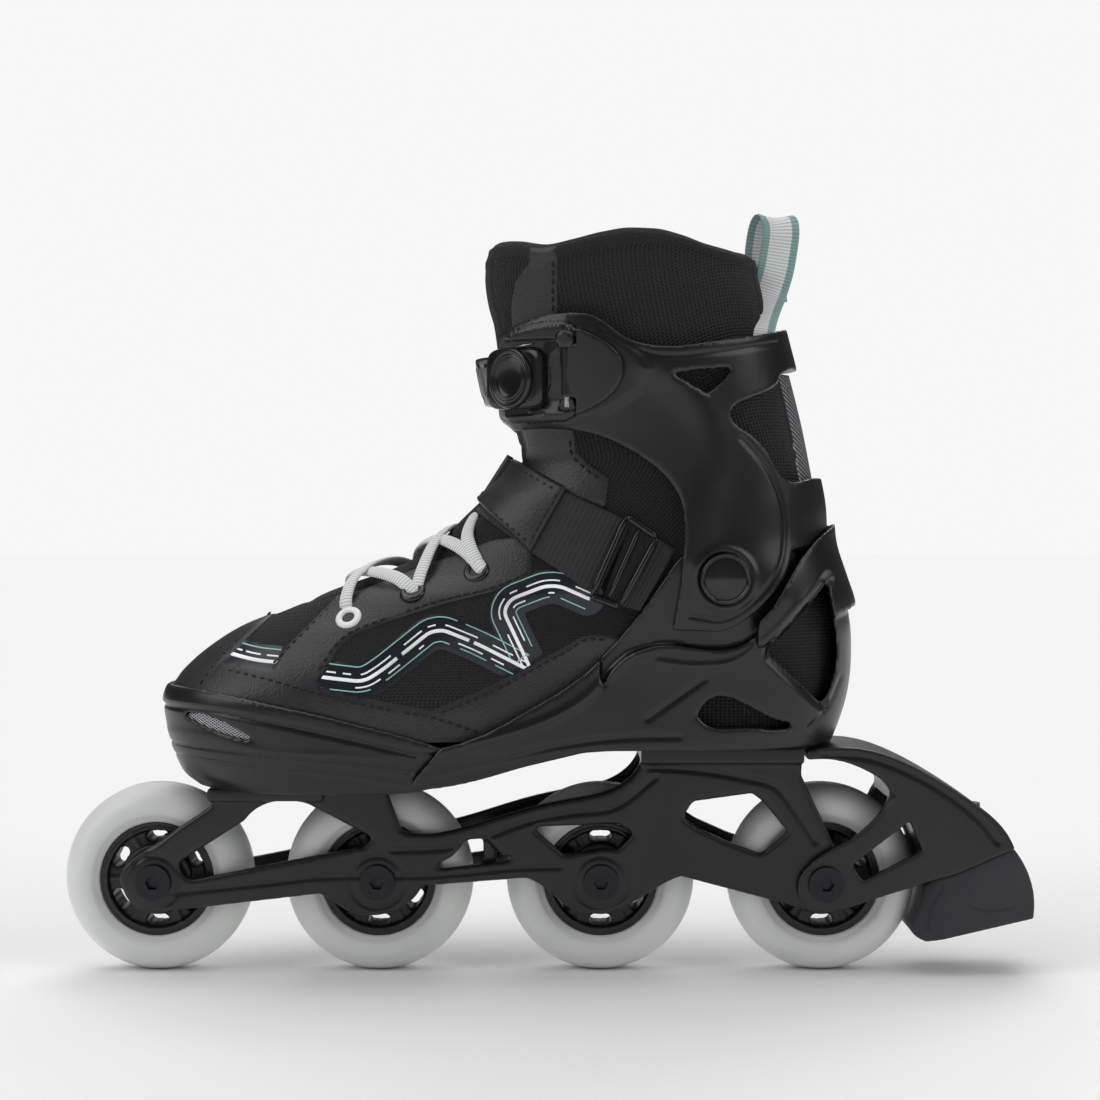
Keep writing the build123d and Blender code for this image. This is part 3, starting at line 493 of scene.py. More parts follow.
def engrave(piece, line, width, depth, where=None):
    """Press a groove (or raise a bead, with a negative depth) along a side-view line."""
    xyz = coords(piece)
    out = normals(piece)
    pull = depth * np.exp(-(polyline_distance(line, xyz[:, 0], xyz[:, 2]) / width) ** 2)
    facing = np.clip((out[:, 1] * np.sign(xyz[:, 1])) * 3, 0, 1)
    if where is not None:
        facing = facing * where(xyz)
    put_coords(piece, xyz - out * (pull * facing)[:, None])


def grooves(piece, lines):
    """Engrave smooth lines one after another: (given points, step, width, depth)."""
    for points, step, width, depth in lines:
        engrave(piece, curve_points(points, step), width, depth)


def raise_area(piece, outline_points, height, soft=1.0):
    """Raise (or sink, with a negative height) a side-view area with soft edges."""
    xyz = coords(piece)
    out = normals(piece)
    lift = height * ease(inside_depth(outline_points, xyz[:, 0], xyz[:, 2]), -soft, soft)
    facing = np.clip((out[:, 1] * np.sign(xyz[:, 1])) * 3, 0, 1)
    put_coords(piece, xyz + out * (lift * facing)[:, None])


def surface_frame(x, z, grow, side):
    """Points and outward normals on the boot's grown surface."""
    y = half_y(x, z, grow)
    dydx = (half_y(x + 0.4, z, grow) - half_y(x - 0.4, z, grow)) / 0.8
    dydz = (half_y(x, z + 0.4, grow) - half_y(x, z - 0.4, grow)) / 0.8
    n = np.stack([-dydx, np.ones_like(y), -dydz], axis=-1)
    n /= np.linalg.norm(n, axis=-1, keepdims=True)
    point = np.stack([x, y * side, z], axis=-1)
    n[..., 1] *= side
    return point, n


def ribbon_parts(line, width, grow, side, thick=0.18):
    """A thin raised strip on the boot's surface: vertices and faces."""
    line = np.asarray(line, float)
    tangent = np.gradient(line, axis=0)
    tangent /= np.linalg.norm(tangent, axis=1, keepdims=True) + 1e-9
    across = np.stack([-tangent[:, 1], tangent[:, 0]], axis=1)
    verts = []
    faces = []
    for offset, lift in ((-0.5, 0.0), (-0.42, thick), (0.42, thick), (0.5, 0.0)):
        at = line + across * offset * width
        point, n = surface_frame(at[:, 0], at[:, 1], grow, side)
        verts.append(point + n * lift)
    count = len(line)
    for row in range(3):
        for i in range(count - 1):
            a = row * count + i
            faces.append((a, a + 1, a + count + 1, a + count))
    return np.vstack(verts), faces


def stitch_parts(line, grow, side, gap=3.4, length=2.3, radius=0.5):
    """A row of separate stitches on the boot's surface."""
    line = np.asarray(line, float)
    steps = np.linalg.norm(np.diff(line, axis=0), axis=1)
    run = np.concatenate([[0], np.cumsum(steps)])
    verts = []
    faces = []
    for at in np.arange(gap / 2, run[-1], gap):
        ends = [np.array([np.interp(at + s * length / 2, run, line[:, k]) for k in (0, 1)]) for s in (-1, 0,
                                                                                                      1)]
        path = [surface_frame(np.array([e[0]]), np.array([e[1]]), grow, side) for e in ends]
        along = path[2][0][0] - path[0][0][0]
        along /= np.linalg.norm(along) + 1e-9
        up = path[1][1][0]
        wide = np.cross(along, up)
        base = len(verts)
        shape = ((-0.5, 0.25, -0.2), (-0.25, 0.9, 0.15), (0.25, 0.9, 0.15), (0.5, 0.25, -0.2))
        for k, size, lift in shape:
            centre = path[1][0][0] + along * k * length + up * lift * radius
            for c in range(6):
                a = c * math.pi / 3
                verts.append(centre + radius * size * (math.cos(a) * wide + math.sin(a) * up))
        for r in range(3):
            for c in range(6):
                d = (c + 1) % 6
                faces.append((base + r * 6 + c, base + r * 6 + d, base + r * 6 + 6 + d, base + r * 6 + 6 + c))
        faces.append(tuple(base + c for c in reversed(range(6))))
        faces.append(tuple(base + 18 + c for c in range(6)))
    return verts, faces


def merged(name, parts, material, body):
    """One piece from several (vertices, faces) parts."""
    verts = []
    faces = []
    for part_verts, part_faces in parts:
        base = len(verts)
        verts.extend(list(part_verts))
        faces.extend([tuple(base + i for i in face) for face in part_faces])
    return make_object(name, verts, faces, material, body)


def tube_parts(path, width, height, sections=10, flat_up=None):
    """An oval tube along a 3-D path, with the run along it and the side across it."""
    path = np.asarray(path, float)
    tangent = np.gradient(path, axis=0)
    tangent /= np.linalg.norm(tangent, axis=1, keepdims=True) + 1e-9
    verts = []
    runs = []
    sides = []
    length = np.concatenate([[0], np.cumsum(np.linalg.norm(np.diff(path, axis=0), axis=1))])
    for i, (p, t) in enumerate(zip(path, tangent)):
        up = np.array(flat_up[i] if flat_up is not None else (0, 0, 1.0), float)
        up = up - t * np.dot(up, t)
        up /= np.linalg.norm(up) + 1e-9
        wide = np.cross(t, up)
        end = min(1.0, 0.35 + 0.65 * min(i, len(path) - 1 - i) / 2)
        for c in range(sections):
            a = 2 * math.pi * c / sections
            verts.append(p + end * (wide * math.cos(a) * width / 2 + up * math.sin(a) * height / 2))
            runs.append(length[i])
            sides.append(math.cos(a) * width / 2)
    faces = []
    for i in range(len(path) - 1):
        for c in range(sections):
            d = (c + 1) % sections
            faces.append((i * sections + c, i * sections + d, (i + 1) * sections + d, (i + 1) * sections + c))
    faces.append(tuple(reversed(range(sections))))
    faces.append(tuple((len(path) - 1) * sections + c for c in range(sections)))
    return verts, faces, runs, sides


def lathe(name, profile, x, z, material, body, segments=144):
    """A closed ring about an axle from a (radius, y) profile."""
    verts = []
    for s in range(segments):
        a = 2 * math.pi * s / segments
        for r, y in profile:
            verts.append((x + r * math.cos(a), y, z + r * math.sin(a)))
    n = len(profile)
    faces = []
    for s in range(segments):
        t = (s + 1) % segments
        for i in range(n):
            j = (i + 1) % n
            faces.append((s * n + i, s * n + j, t * n + j, t * n + i))
    return make_object(name, verts, faces, material, body)


# ---------------------------------------------------------------- wheels, frame and brake

PITCH = 89.5
AXLE_X = [-156.8 + PITCH * i for i in range(4)]
AXLE_Z = 38.0
PIVOT_X, PIVOT_Z = 69.2, 160.5


def tyre_profile():
    """Half-round tread with a small flat, a fine mould line and a stepped lip at the hub."""
    half = [(23.05, -10.4), (24.0, -10.9), (25.2, -11.2), (25.6, -11.9), (27.0, -12.25), (29.0, -12.3),
            (31.0, -11.9), (32.8, -11.0), (34.4, -9.6), (35.8, -7.7), (36.9, -5.6), (37.6, -4.0),
            (37.95, -2.8)]
    mirror = [(r, -y) for r, y in reversed(half)]
    return half + [(38.0, -1.2), (38.0, 1.2)] + mirror


def spoke_disc(x, tag):
    """Hub face: rim ring, barrel ring, six forked spokes and small slots, as one rounded piece."""
    piece = rounded(f"{tag}_hub_form", f"{tag}_hub", tag, HUB, 0.62, smooth=2)
    xyz = coords(piece)
    radius = np.hypot(xyz[:, 0] - x, xyz[:, 2] - AXLE_Z)
    angle = np.degrees(np.arctan2(xyz[:, 2] - AXLE_Z, xyz[:, 0] - x)) % 60
    rib = np.exp(-((angle - 0) / 3.0) ** 2) + np.exp(-((angle - 60) / 3.0) ** 2)
    on_spoke = rib * ease(radius, 13, 15) * (1 - ease(radius, 19.5, 21.5))
    xyz[:, 1] += np.sign(xyz[:, 1]) * on_spoke * 0.7
    ring_groove = np.exp(-((radius - 21.6) / 0.5) ** 2) * 0.5
    xyz[:, 1] -= np.sign(xyz[:, 1]) * ring_groove
    put_coords(piece, xyz)


def build_wheels():
    for i, x in enumerate(AXLE_X, start=1):
        tag = f"wheel_{i}"
        tread = lathe(f"{tag}_tyre_form", tyre_profile(), x, AXLE_Z, TYRE, tag)
        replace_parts(tread, f"{tag}_tyre")
        spoke_disc(x, tag)


def build_frame():
    piece = rounded("frame_form", "frame", "skate_base", FRAME_PLASTIC, 0.95, smooth=3)
    belly = [(-150, 33.5), (-112, 37.5), (-88, 40), (-46, 40.5), (-12, 43.5), (6, 44)]
    engrave(piece, curve_points(belly, 2), 0.8, 0.5)
    grooves(piece, [
        ([(-62, 50.5), (-34, 52.5), (-9, 61.5), (10, 65.5), (28, 68.0), (44, 80)], 2, 0.9, 0.7),
        ([(42, 83.8), (60, 82.8), (80, 79.5), (92, 76), (100, 66), (108, 54)], 2, 0.9, 0.7),
    ])
    engrave(piece, [(-140, 66.5), (-152, 56.5), (-164, 46)], 0.9, 0.6)
    for x in AXLE_X[:3]:
        ring = [(x + 10.5 * math.cos(a), AXLE_Z + 10.5 * math.sin(a)) for a in np.linspace(0, 2 * math.pi,
                                                                                           40)]
        engrave(piece, ring, 0.8, 0.6)


def build_brake():
    arm = rounded("brake_arm_form", "brake_arm", "skate_base", FRAME_PLASTIC, 0.8, smooth=4)
    spine = curve_points([(110, 89.2), (128, 88.2), (145, 82), (160, 73.5), (172, 64), (180, 54.5)], 2)
    engrave(arm, spine, 0.9, 0.7)
    engrave(arm, curve_points([(106, 46.5), (120, 57.5), (138, 72)], 2), 0.8, -0.5)
    pad = rounded("brake_pad_form", "brake_pad", "skate_base", PAD, 0.7, smooth=4)
    xyz = coords(pad)
    swell = 5.2 * np.sign(xyz[:, 1]) * ease(np.abs(xyz[:, 1]), 4, 14) * ease(xyz[:, 0], 147, 160)
    xyz[:, 1] += swell
    put_coords(pad, xyz)
    grooves(pad, [
        ([(152.5, 18), (153.5, 27), (158, 36.5)], 1.5, 0.8, 0.8),
        ([(168, 30), (176, 27.5), (186, 28.5)], 1.5, 0.5, 0.35),
    ])


# ---------------------------------------------------------------- boot shells and cuff

def build_heel_shell():
    shell = rounded("heel_shell_form", "heel_shell", "skate_base", SHELL, 0.9, smooth=4)
    grooves(shell, [
        ([(-44, 84), (-20, 89.5), (5, 95.5), (30, 98.5), (52, 99)], 2, 1.0, 0.5),
        ([(-30, 96.5), (-5, 103.5), (14, 113), (30, 128), (40, 132)], 2, 1.6, -0.7),
        ([(44, 128), (58, 126.5), (74, 128.5), (86, 138), (98, 149.5), (108, 158)], 2, 1.4, -0.6),
    ])
    xyz = coords(shell)
    outward = np.clip(normals(shell)[:, 1] * np.sign(xyz[:, 1]) * 2, 0, 1)
    edge = [(111, 160.0), (86, 131.9), (109.5, 110.0)]
    slope = np.clip(3.4 - polyline_distance(edge, xyz[:, 0], xyz[:, 2]), 0, 3.4) * 0.8 * ease(xyz[:, 0], 84,
                                                                                              86)
    xyz[:, 1] -= np.sign(xyz[:, 1]) * slope * outward
    put_coords(shell, xyz)
    grooves(shell, [
        ([(40, 106), (54, 116), (62, 121.5)], 1.5, 1.0, 0.6),
        ([(104, 101), (112, 109), (117.5, 120)], 1.5, 1.0, 0.5),
    ])


def build_toe_shell():
    shell = rounded("toe_shell_form", "toe_shell", "toe_slider", SHELL, 0.8, smooth=4)
    xyz = coords(shell)
    out = normals(shell)
    wall = np.clip(np.hypot(out[:, 0] * (xyz[:, 0] < -110), out[:, 1]) * 3, 0, 1)
    rim_line = curve_points([(-165, 108.5), (-131.3, 108.8), (-109.6, 105.6), (-89.9, 101.8), (-70.1, 97.2),
                             (-50.4, 92)], 2)
    lip = np.exp(-(polyline_distance(rim_line, xyz[:, 0], xyz[:, 2]) / 0.9) ** 2) * -0.75
    bumper_top = curve_points([(-165, 93.5), (-140, 94), (-110, 92.5), (-80, 89.5), (-52, 85)], 2)
    lip -= np.exp(-(polyline_distance(bumper_top, xyz[:, 0], xyz[:, 2]) / 0.8) ** 2) * 0.7
    second = bumper_top - np.array([0, 5.0])
    lip -= np.exp(-(polyline_distance(second, xyz[:, 0], xyz[:, 2]) / 0.7) ** 2) * 0.5
    sweep = curve_points([(-150, 99), (-128, 98), (-106, 92.5), (-84, 92), (-60, 90)], 2)
    lip += np.exp(-(polyline_distance(sweep, xyz[:, 0], xyz[:, 2]) / 2.2) ** 2) * 0.5
    top_band = ease(xyz[:, 2] - np.interp(xyz[:, 0], rim_line[:, 0], rim_line[:, 1]), 0.2, 2.0)
    lip += top_band * 0.7
    put_coords(shell, xyz + out * (lip * wall)[:, None])


def build_cuff():
    cuff = rounded("cuff_form", "cuff", "ankle_cuff", SHELL, 0.8, smooth=5)
    boss = [(-18, 222), (8, 219.5), (24, 225), (36, 233), (40, 241), (34, 249), (20, 258), (8, 261),
            (-18, 258)]
    raise_area(cuff, boss, 1.3, 2.0)
    spine = curve_points([(40, 243), (52, 236), (62, 222), (66, 205), (62, 188), (58, 168)], 2)
    engrave(cuff, spine, 7.0, -1.2)
    engrave(cuff, curve_points([(-14, 213.8), (2, 213.9), (22, 210.8), (40, 202), (49.5, 189), (51, 172),
                                (48, 150)], 2),
            1.2, 0.7, where=lambda p: ease(p[:, 2], 140, 150))
    grooves(cuff, [
        ([(20, 256.5), (42, 246.6), (66, 247.8), (92, 252.8)], 2, 0.9, 0.6),
        ([(56, 146), (70, 145), (84, 155), (92, 168), (93, 186), (87, 202), (76, 215)], 2, 1.0, 0.6),
    ])
    seat = [(PIVOT_X + 11.4 * math.cos(a), PIVOT_Z + 11.4 * math.sin(a)) for a in np.linspace(0, 2 * math.pi,
                                                                                              40)]
    engrave(cuff, seat, 1.3, -0.7)


def build_pivot_caps(radius, depth):
    """Flat glossy caps with a thin raised rim, turned about each cuff pivot."""
    low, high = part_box("cuff_pivot_caps")
    profile = [(0.0, 0.15), (radius * 0.80, 0.15), (radius * 0.84, -0.2), (radius * 0.88, -0.2),
               (radius * 0.91, 0.8), (radius * 0.96, 0.95), (radius * 1.0, 0.7), (radius * 1.02, 0.0),
               (radius * 1.02, -depth), (0.0, -depth)]
    n = len(profile)
    steps = 72
    faces = [(s * n + i, s * n + i + 1, (s + 1) % steps * n + i + 1, (s + 1) % steps * n + i)
             for s in range(steps) for i in range(n - 1)]
    parts = []
    for face, sign in ((low[1] / MM, -1), (high[1] / MM, 1)):
        verts = []
        for s in range(steps):
            a = 2 * math.pi * s / steps
            for r, lift in profile:
                verts.append((PIVOT_X + r * math.cos(a), face + sign * lift, PIVOT_Z + r * math.sin(a)))
        parts.append((verts, faces))
    piece = merged("pivot_caps_form", parts, GLOSS, "ankle_cuff")
    mesh = bmesh.new()
    mesh.from_mesh(piece.data)
    bmesh.ops.remove_doubles(mesh, verts=mesh.verts, dist=1e-6)
    bmesh.ops.recalc_face_normals(mesh, faces=mesh.faces)
    mesh.to_mesh(piece.data)
    mesh.free()
    piece.data.shade_smooth()
    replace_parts(piece, "cuff_pivot_caps")


def turned_disc(x, y, z, turn, radii, heights, squareness=2.0, steps=96):
    """Stacked rings facing sideways, turned about the vertical; squareness 2 is round, more is boxy."""
    verts = []
    out = np.array((-math.sin(turn), -math.cos(turn), 0.0))
    wide = np.array((math.cos(turn), -math.sin(turn), 0.0))
    for (a, b), h in zip(radii, heights):
        for s in range(steps):
            w = 2 * math.pi * s / steps
            c, d = math.cos(w), math.sin(w)
            cx = math.copysign(abs(c) ** (2 / squareness), c)
            cz = math.copysign(abs(d) ** (2 / squareness), d)
            verts.append(np.array((x, y, z)) + wide * cx * a + np.array((0, 0, 1.0)) * cz * b + out * h)
    faces = []
    for r in range(len(radii) - 1):
        for s in range(steps):
            t = (s + 1) % steps
            faces.append((r * steps + s, r * steps + t, (r + 1) * steps + t, (r + 1) * steps + s))
    last = (len(radii) - 1) * steps
    faces.append(tuple(last + s for s in range(steps)))
    faces.append(tuple(reversed(range(steps))))
    return verts, faces


def recalculated(piece):
    """Face normals made to point outwards."""
    mesh = bmesh.new()
    mesh.from_mesh(piece.data)
    bmesh.ops.recalc_face_normals(mesh, faces=mesh.faces)
    mesh.to_mesh(piece.data)
    mesh.free()
    return piece


def build_buckle():
    """Domed lever round a boxy housing with a big round release button, and the toothed strap under it."""
    base = rounded("buckle_base_form", "buckle_base", "ankle_cuff", SHELL, 0.55, smooth=3)
    raise_area(base, [(-15, 249.6), (10.5, 249.6), (10.5, 262), (-15, 262)], 2.9, 3.2)
    raise_area(base, [(-15, 226.9), (10.5, 226.9), (10.5, 216), (-15, 216)], 2.9, 3.2)
    rounded("buckle_lever_form", "buckle_lever", "cuff_buckle_lever", SHELL, 0.55, smooth=4)
    strap = rounded("ladder_strap_form", "ladder_strap", "ankle_cuff", GLOSS, 0.55, smooth=3)
    xyz = coords(strap)
    out = normals(strap)
    angle = np.arctan2(xyz[:, 1], xyz[:, 0] - 40)
    teeth = 0.35 * np.sin(angle * 46) * ease(6.5 - np.abs(xyz[:, 2] - 238), 0, 1.0)
    put_coords(strap, xyz + out * teeth[:, None])
    x0, x1, z = -21.2, 0.6, 238.2
    y0 = -float(half_y(np.array([x0]), np.array([z]), 9.6)[0])
    y1 = -float(half_y(np.array([x1]), np.array([z]), 9.6)[0])
    turn = math.atan2(y0 - y1, x1 - x0)
    x, y = (x0 + x1) / 2, (y0 + y1) / 2
    facing = np.array((-math.sin(turn), -math.cos(turn), 0.0))
    rel = coords(base) - np.array((x, y, z))
    height = rel @ facing
    under = (np.abs(rel[:, 2]) < 14.5) & (np.abs(rel[:, 0]) < 14) & (height > 0.5)
    put_coords(base, coords(base) - facing * ((height - 0.5) * under)[:, None])
    xyz = coords(base)
    level = -half_y(xyz[:, 0], xyz[:, 2], 13.0)
    high = (xyz[:, 0] > 3) & (xyz[:, 1] < level)
    xyz[high, 1] = level[high]
    put_coords(base, xyz)
    half = math.hypot(x1 - x0, y1 - y0) / 2
    box = [(half, 12.0), (half, 12.0), (half - 0.3, 11.7), (half - 1.2, 10.8), (half - 2.4, 9.6)]
    v, f = turned_disc(x, y, z, turn, box, [-4.0, 2.4, 3.2, 3.8, 4.0], squareness=5.0)
    housing = recalculated(make_object("buckle_housing", v, f, GLOSS, "ankle_cuff"))
    rings = [(11.4, 0), (11.4, 4.9), (11.1, 5.4), (10.6, 5.6), (9.4, 5.6), (9.2, 5.3), (8.9, 5.3),
             (8.7, 5.6), (8.3, 5.6), (8.1, 5.3), (7.8, 5.3), (7.6, 5.6), (7.2, 5.6), (7.0, 5.2), (6.0, 4.9),
             (3.0, 4.7), (0.6, 4.65)]
    v, f = turned_disc(x - 0.4, y, z, turn, [(r * 0.97, r * 1.04) for r, _ in rings], [h for _, h in rings])
    button = recalculated(make_object("buckle_button_form", v, f, GLOSS, "buckle_release"))
    for edge_z, edge_x in ((250.9, -8.0), (225.4, -3.0)):
        yy = -float(half_y(np.array([edge_x]), np.array([edge_z]), 10.2)[0])
        path = [(edge_x - 3.6, yy + 2.2, edge_z - 0.6), (edge_x, yy, edge_z),
                (edge_x + 3.0, yy - 1.0, edge_z + 0.5)]
        v, f, _, _ = tube_parts(path, 1.1, 1.1, 10)
        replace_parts(make_object(f"buckle_latch_wire_{int(edge_z)}", v, f, STEEL, "ankle_cuff"),
                    "buckle_spring")
    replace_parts(housing, "buckle_base")
    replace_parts(button, "buckle_button")
    build_pivot_caps(9.5, 2.2)
    build_reflective_strip()


def build_reflective_strip():
    """Striped tape down the back of the shaft, between the cuff's arms."""
    verts = []
    faces = []
    rows, columns = 46, 24
    for layer in (3.4, 1.2):
        for i in range(rows + 1):
            zz = 197 + 44 * i / rows
            for k in range(columns + 1):
                yy = -13 + 26 * k / columns
                verts.append((float(back_at(np.array([zz]))[0]) + layer - yy * yy / 26, yy, zz))
    w = columns + 1
    n = (rows + 1) * w
    for i in range(rows):
        for k in range(columns):
            a = i * w + k
            faces.append((a, a + 1, a + w + 1, a + w))
            faces.append((n + a, n + a + w, n + a + w + 1, n + a + 1))
        for a in (i * w, i * w + columns):
            faces.append((a, a + w, n + a + w, n + a))
    for k in range(columns):
        for a in (k, rows * w + k):
            faces.append((a, a + 1, n + a + 1, n + a))
    spine = recalculated(make_object("reflective_spine", verts, faces, TAPE, "ankle_cuff"))
    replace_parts(spine, "reflective_strip")


# ---------------------------------------------------------------- soft boot

EYESTAY = [(-21.4, 174.5), (-36.6, 168.4), (-51.8, 162.9), (-62, 158.8), (-74.1, 154.2), (-84, 152),
           (-94.9, 139.9), (-100.9, 133.9), (-106, 123.9), (-104, 116), (-86, 116), (-86.6, 121.2),
           (-80.6, 133.1), (-74.6, 138.1), (-60.7, 143.6), (-40.8, 150.1), (-20.9, 155), (-6, 161), (-3, 178)]
TOE_CAP = [(-175, 85), (-175, 160), (-106, 160), (-110.4, 144.1), (-118.5, 135.6), (-127.5, 126.6),
           (-131.6, 120.5), (-133.6, 114.5), (-133, 85)]
RAND = [(-127.5, 126.6), (-107, 124), (-90.1, 119.5), (-70.4, 114.6), (-43.6, 109.1), (-23.8, 100.2),
        (-23, 84), (-136, 84), (-134, 118)]
QUARTER = [(-43.4, 109.5), (-20.7, 118.9), (5.7, 132.7), (15.2, 138.2), (21.4, 138.7), (30, 136.6),
           (44, 132), (30, 84), (-40, 84)]
SHIN = [(4.8, 300), (4.8, 264.8), (11.1, 217), (12.1, 209.7), (17.4, 204), (24.6, 199.3), (23.1, 187.9),
        (-2, 196), (-9, 207), (-10, 217), (-12.5, 240), (-13.0, 258.1), (-12.6, 270.7), (-11.5, 275.9),
        (-6.7, 282.2), (-3, 300)]
FILM_LINE = [(-90, 122.6), (-70.1, 120.3), (-62.7, 125.0), (-44.8, 139.3), (-39.8, 140.1), (-27.3, 135.1),
             (-4.6, 123.4), (-15.9, 147.5), (-13.3, 152.1), (-0.1, 157.2), (5.7, 157.2), (17.5, 152.0)]
FILM_TOE = [(-124.5, 131.0), (-113, 129.0), (-102.5, 128.4)]


def zone_depths(x, z, y):
    """Signed depths of the leather, film and plain zones for points on the boot."""
    leather = np.full(x.shape, -9.0)
    for outline_points in (EYESTAY, TOE_CAP, RAND, QUARTER, SHIN):
        leather = np.maximum(leather, inside_depth(outline_points, x, z))
    film = np.maximum(6.6 - polyline_distance(rounded_line(FILM_LINE, 5.0, 2.0), x, z),
                      5.0 - polyline_distance(FILM_TOE, x, z))
    film = np.where(leather > 0, -0.5, film)
    shin_front = np.minimum(15.0 - np.abs(y), z - 212)
    throat_front = np.minimum(13.5 - np.abs(y), np.minimum(z - 150, 206 - z))
    plain = np.maximum(shin_front, throat_front)
    plain = np.maximum(plain, z - (rim_at(x) - 6.5))
    leather = np.where((np.abs(y) < 13.5) & (x > -92) & (z > 150), -1.0, leather)
    return leather, film, plain


def skin_levels():
    """Heights of the rings of the boot surface, close together where the instep is nearly level."""
    z = 97.0
    heights = [z]
    while z < 214:
        lean = abs(float(front_at(z + 0.5) - front_at(z))) / 0.5
        z += 1.5 / math.sqrt(1 + lean**2 * 0.9)
        heights.append(z)
    return heights


def sock_grid():
    """Rings of points from inside the shells up the leg, over the collar and down the lining."""
    samples = 200
    t = np.linspace(0, 1, samples)
    rings = []
    collar = []
    for z in skin_levels():
        rings.append((np.full(samples, z), 0.0))
        collar.append(0.0)
    base = skin_levels()[-1]
    count = 50
    for k in range(1, count + 1):
        x_guess = front_at(255) + (back_at(255) - front_at(255)) * (1 - np.cos(math.pi * t)) / 2
        top = rim_at(x_guess) - 2.5
        rings.append((base + (top - base) * k / count, 0.0))
        collar.append(0.0)
    for a in np.linspace(0, math.pi, 9)[1:]:
        rings.append((top + 2.5 * math.sin(a), -3.0 + 3.0 * math.cos(a)))
        collar.append(1.0)
    for k in range(1, 26):
        rings.append((top - k * 3.0, -6.0 - 1.2 * (k > 2)))
        collar.append(1.0)
    verts = []
    for z, grow in rings:
        front = front_at(z) - grow
        back = back_at(z) + grow
        x = front + (back - front) * (1 - np.cos(math.pi * t)) / 2
        y = half_y(x, z, grow)
        near = np.stack([x, -y, z], axis=1)
        far = np.stack([x, y, z], axis=1)[-2:0:-1]
        verts.append(np.vstack([near, far]))
    return np.array(verts), np.array(collar)


def build_sock():
    grid, collar = sock_grid()
    rings, around = grid.shape[:2]
    girth = np.zeros((rings, around))
    seg = np.linalg.norm(np.diff(np.concatenate([grid, grid[:, :1]], axis=1), axis=1), axis=2)
    girth[:, 1:] = np.cumsum(seg, axis=1)[:, :-1]
    rise = np.zeros((rings, around))
    rise[1:] = np.cumsum(np.linalg.norm(np.diff(grid, axis=0), axis=2), axis=0)
    flat = grid.reshape(-1, 3)
    x, y, z = flat[:, 0], flat[:, 1], flat[:, 2]
    leather, film, plain = zone_depths(x, z, y)
    lining = np.repeat(collar, around) > 0
    leather[lining] = -9
    film[lining] = -9
    plain[lining] = 9
    up = np.roll(grid, -1, axis=0) - np.roll(grid, 1, axis=0)
    up[0] = grid[1] - grid[0]
    up[-1] = grid[-1] - grid[-2]
    along = np.roll(grid, -1, axis=1) - np.roll(grid, 1, axis=1)
    n = np.cross(along, up).reshape(-1, 3)
    n /= np.linalg.norm(n, axis=1, keepdims=True) + 1e-9
    lift = 1.0 * ease(leather, -0.5, 0.7) + 0.35 * ease(film, -0.3, 0.4)
    seam = np.abs(plain)
    lift -= 0.6 * np.exp(-(seam / 1.0) ** 2) * (~lining)
    binding = ease(z - (rim_at(x) - 7.5), 0, 1.2) * (~lining)
    lift += 0.9 * binding
    tongue_bulge = ease(13.5 - np.abs(y), 0, 9) * ease(z, 150, 158) * (1 - ease(z, 196, 210))
    lift += 1.6 * tongue_bulge
    puff = 0.9 * np.sin(np.clip((z - 262) / 26, 0, 1) * math.pi) * (~lining) * (leather < 0)
    lift += puff
    flat = flat + n * lift[:, None]
    faces = []
    for r in range(rings - 1):
        for a in range(around):
            b = (a + 1) % around
            faces.append((r * around + a, r * around + b, (r + 1) * around + b, (r + 1) * around + a))
    faces = np.array(faces)
    centre_x = flat[faces].mean(axis=1)[:, 0]
    split_x = -56.0
    values = {"leather": leather, "film": film, "plain": plain, "girth": girth.ravel(), "rise": rise.ravel()}
    pieces = []
    for name, keep in (("boot_skin_toe", centre_x < split_x), ("boot_skin", centre_x >= split_x)):
        chosen = faces[keep]
        used = np.unique(chosen)
        index = np.full(len(flat), -1)
        index[used] = np.arange(len(used))
        piece = make_object(name, flat[used], [tuple(int(i) for i in row) for row in index[chosen]], SKIN,
                            None)
        for key, data in values.items():
            set_attribute(piece, key, data[used])
        pieces.append(piece)
    toe, rest = pieces
    blended(toe, True)
    blended(rest, False)
    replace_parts(toe, "upper_toe")
    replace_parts(rest, "upper_rear", "tongue", "shin_tongue", "shaft_padding", "insole")


def offset_line(line, distance):
    """A side-view line moved sideways by a distance."""
    line = np.asarray(line, float)
    tangent = np.gradient(line, axis=0)
    tangent /= np.linalg.norm(tangent, axis=1, keepdims=True) + 1e-9
    return line + np.stack([-tangent[:, 1], tangent[:, 0]], axis=1) * distance


def blended(piece, toe_side):
    """The boot skin, and trim sewn to it: the transform is baked into the mesh, the same way on the toe side
    and the rest.
    """
    if toe_side:
        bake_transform(piece)
    else:
        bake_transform(piece)


SEAMS_TOE = [
    ([(-107.5, 128), (-101.5, 134.5), (-95, 140.8), (-86.5, 149.5)], -1.6),
    ([(-88, 125), (-81.5, 134.6), (-75.2, 139.8), (-61, 145.3)], 0.0),
    ([(-125, 124.6), (-107, 121.4), (-90.1, 117.2), (-70.4, 112.2), (-58, 109.4)], 0.0),
    ([(-136.2, 118), (-133.2, 122.5), (-129, 128.3), (-120, 137.3), (-112.4, 144.6)], 0.0),
]
SEAMS_HEEL = [
    ([(-55, 147.2), (-40.8, 151.9), (-20.9, 156.8), (-7, 162.6)], 0.0),
    ([(-55, 108.9), (-43.6, 106.6), (-26, 100.8)], 0.0),
    ([(-41, 108.0), (-20, 116.9), (6, 130.7), (15.4, 136.2), (24, 136.4)], 0.0),
    ([(2.8, 284), (2.8, 264.8), (4.5, 252)], 0.0),
    ([(9.4, 214.4), (10.4, 208.4), (16.0, 202.6), (22.4, 198.2)], 0.0),
]


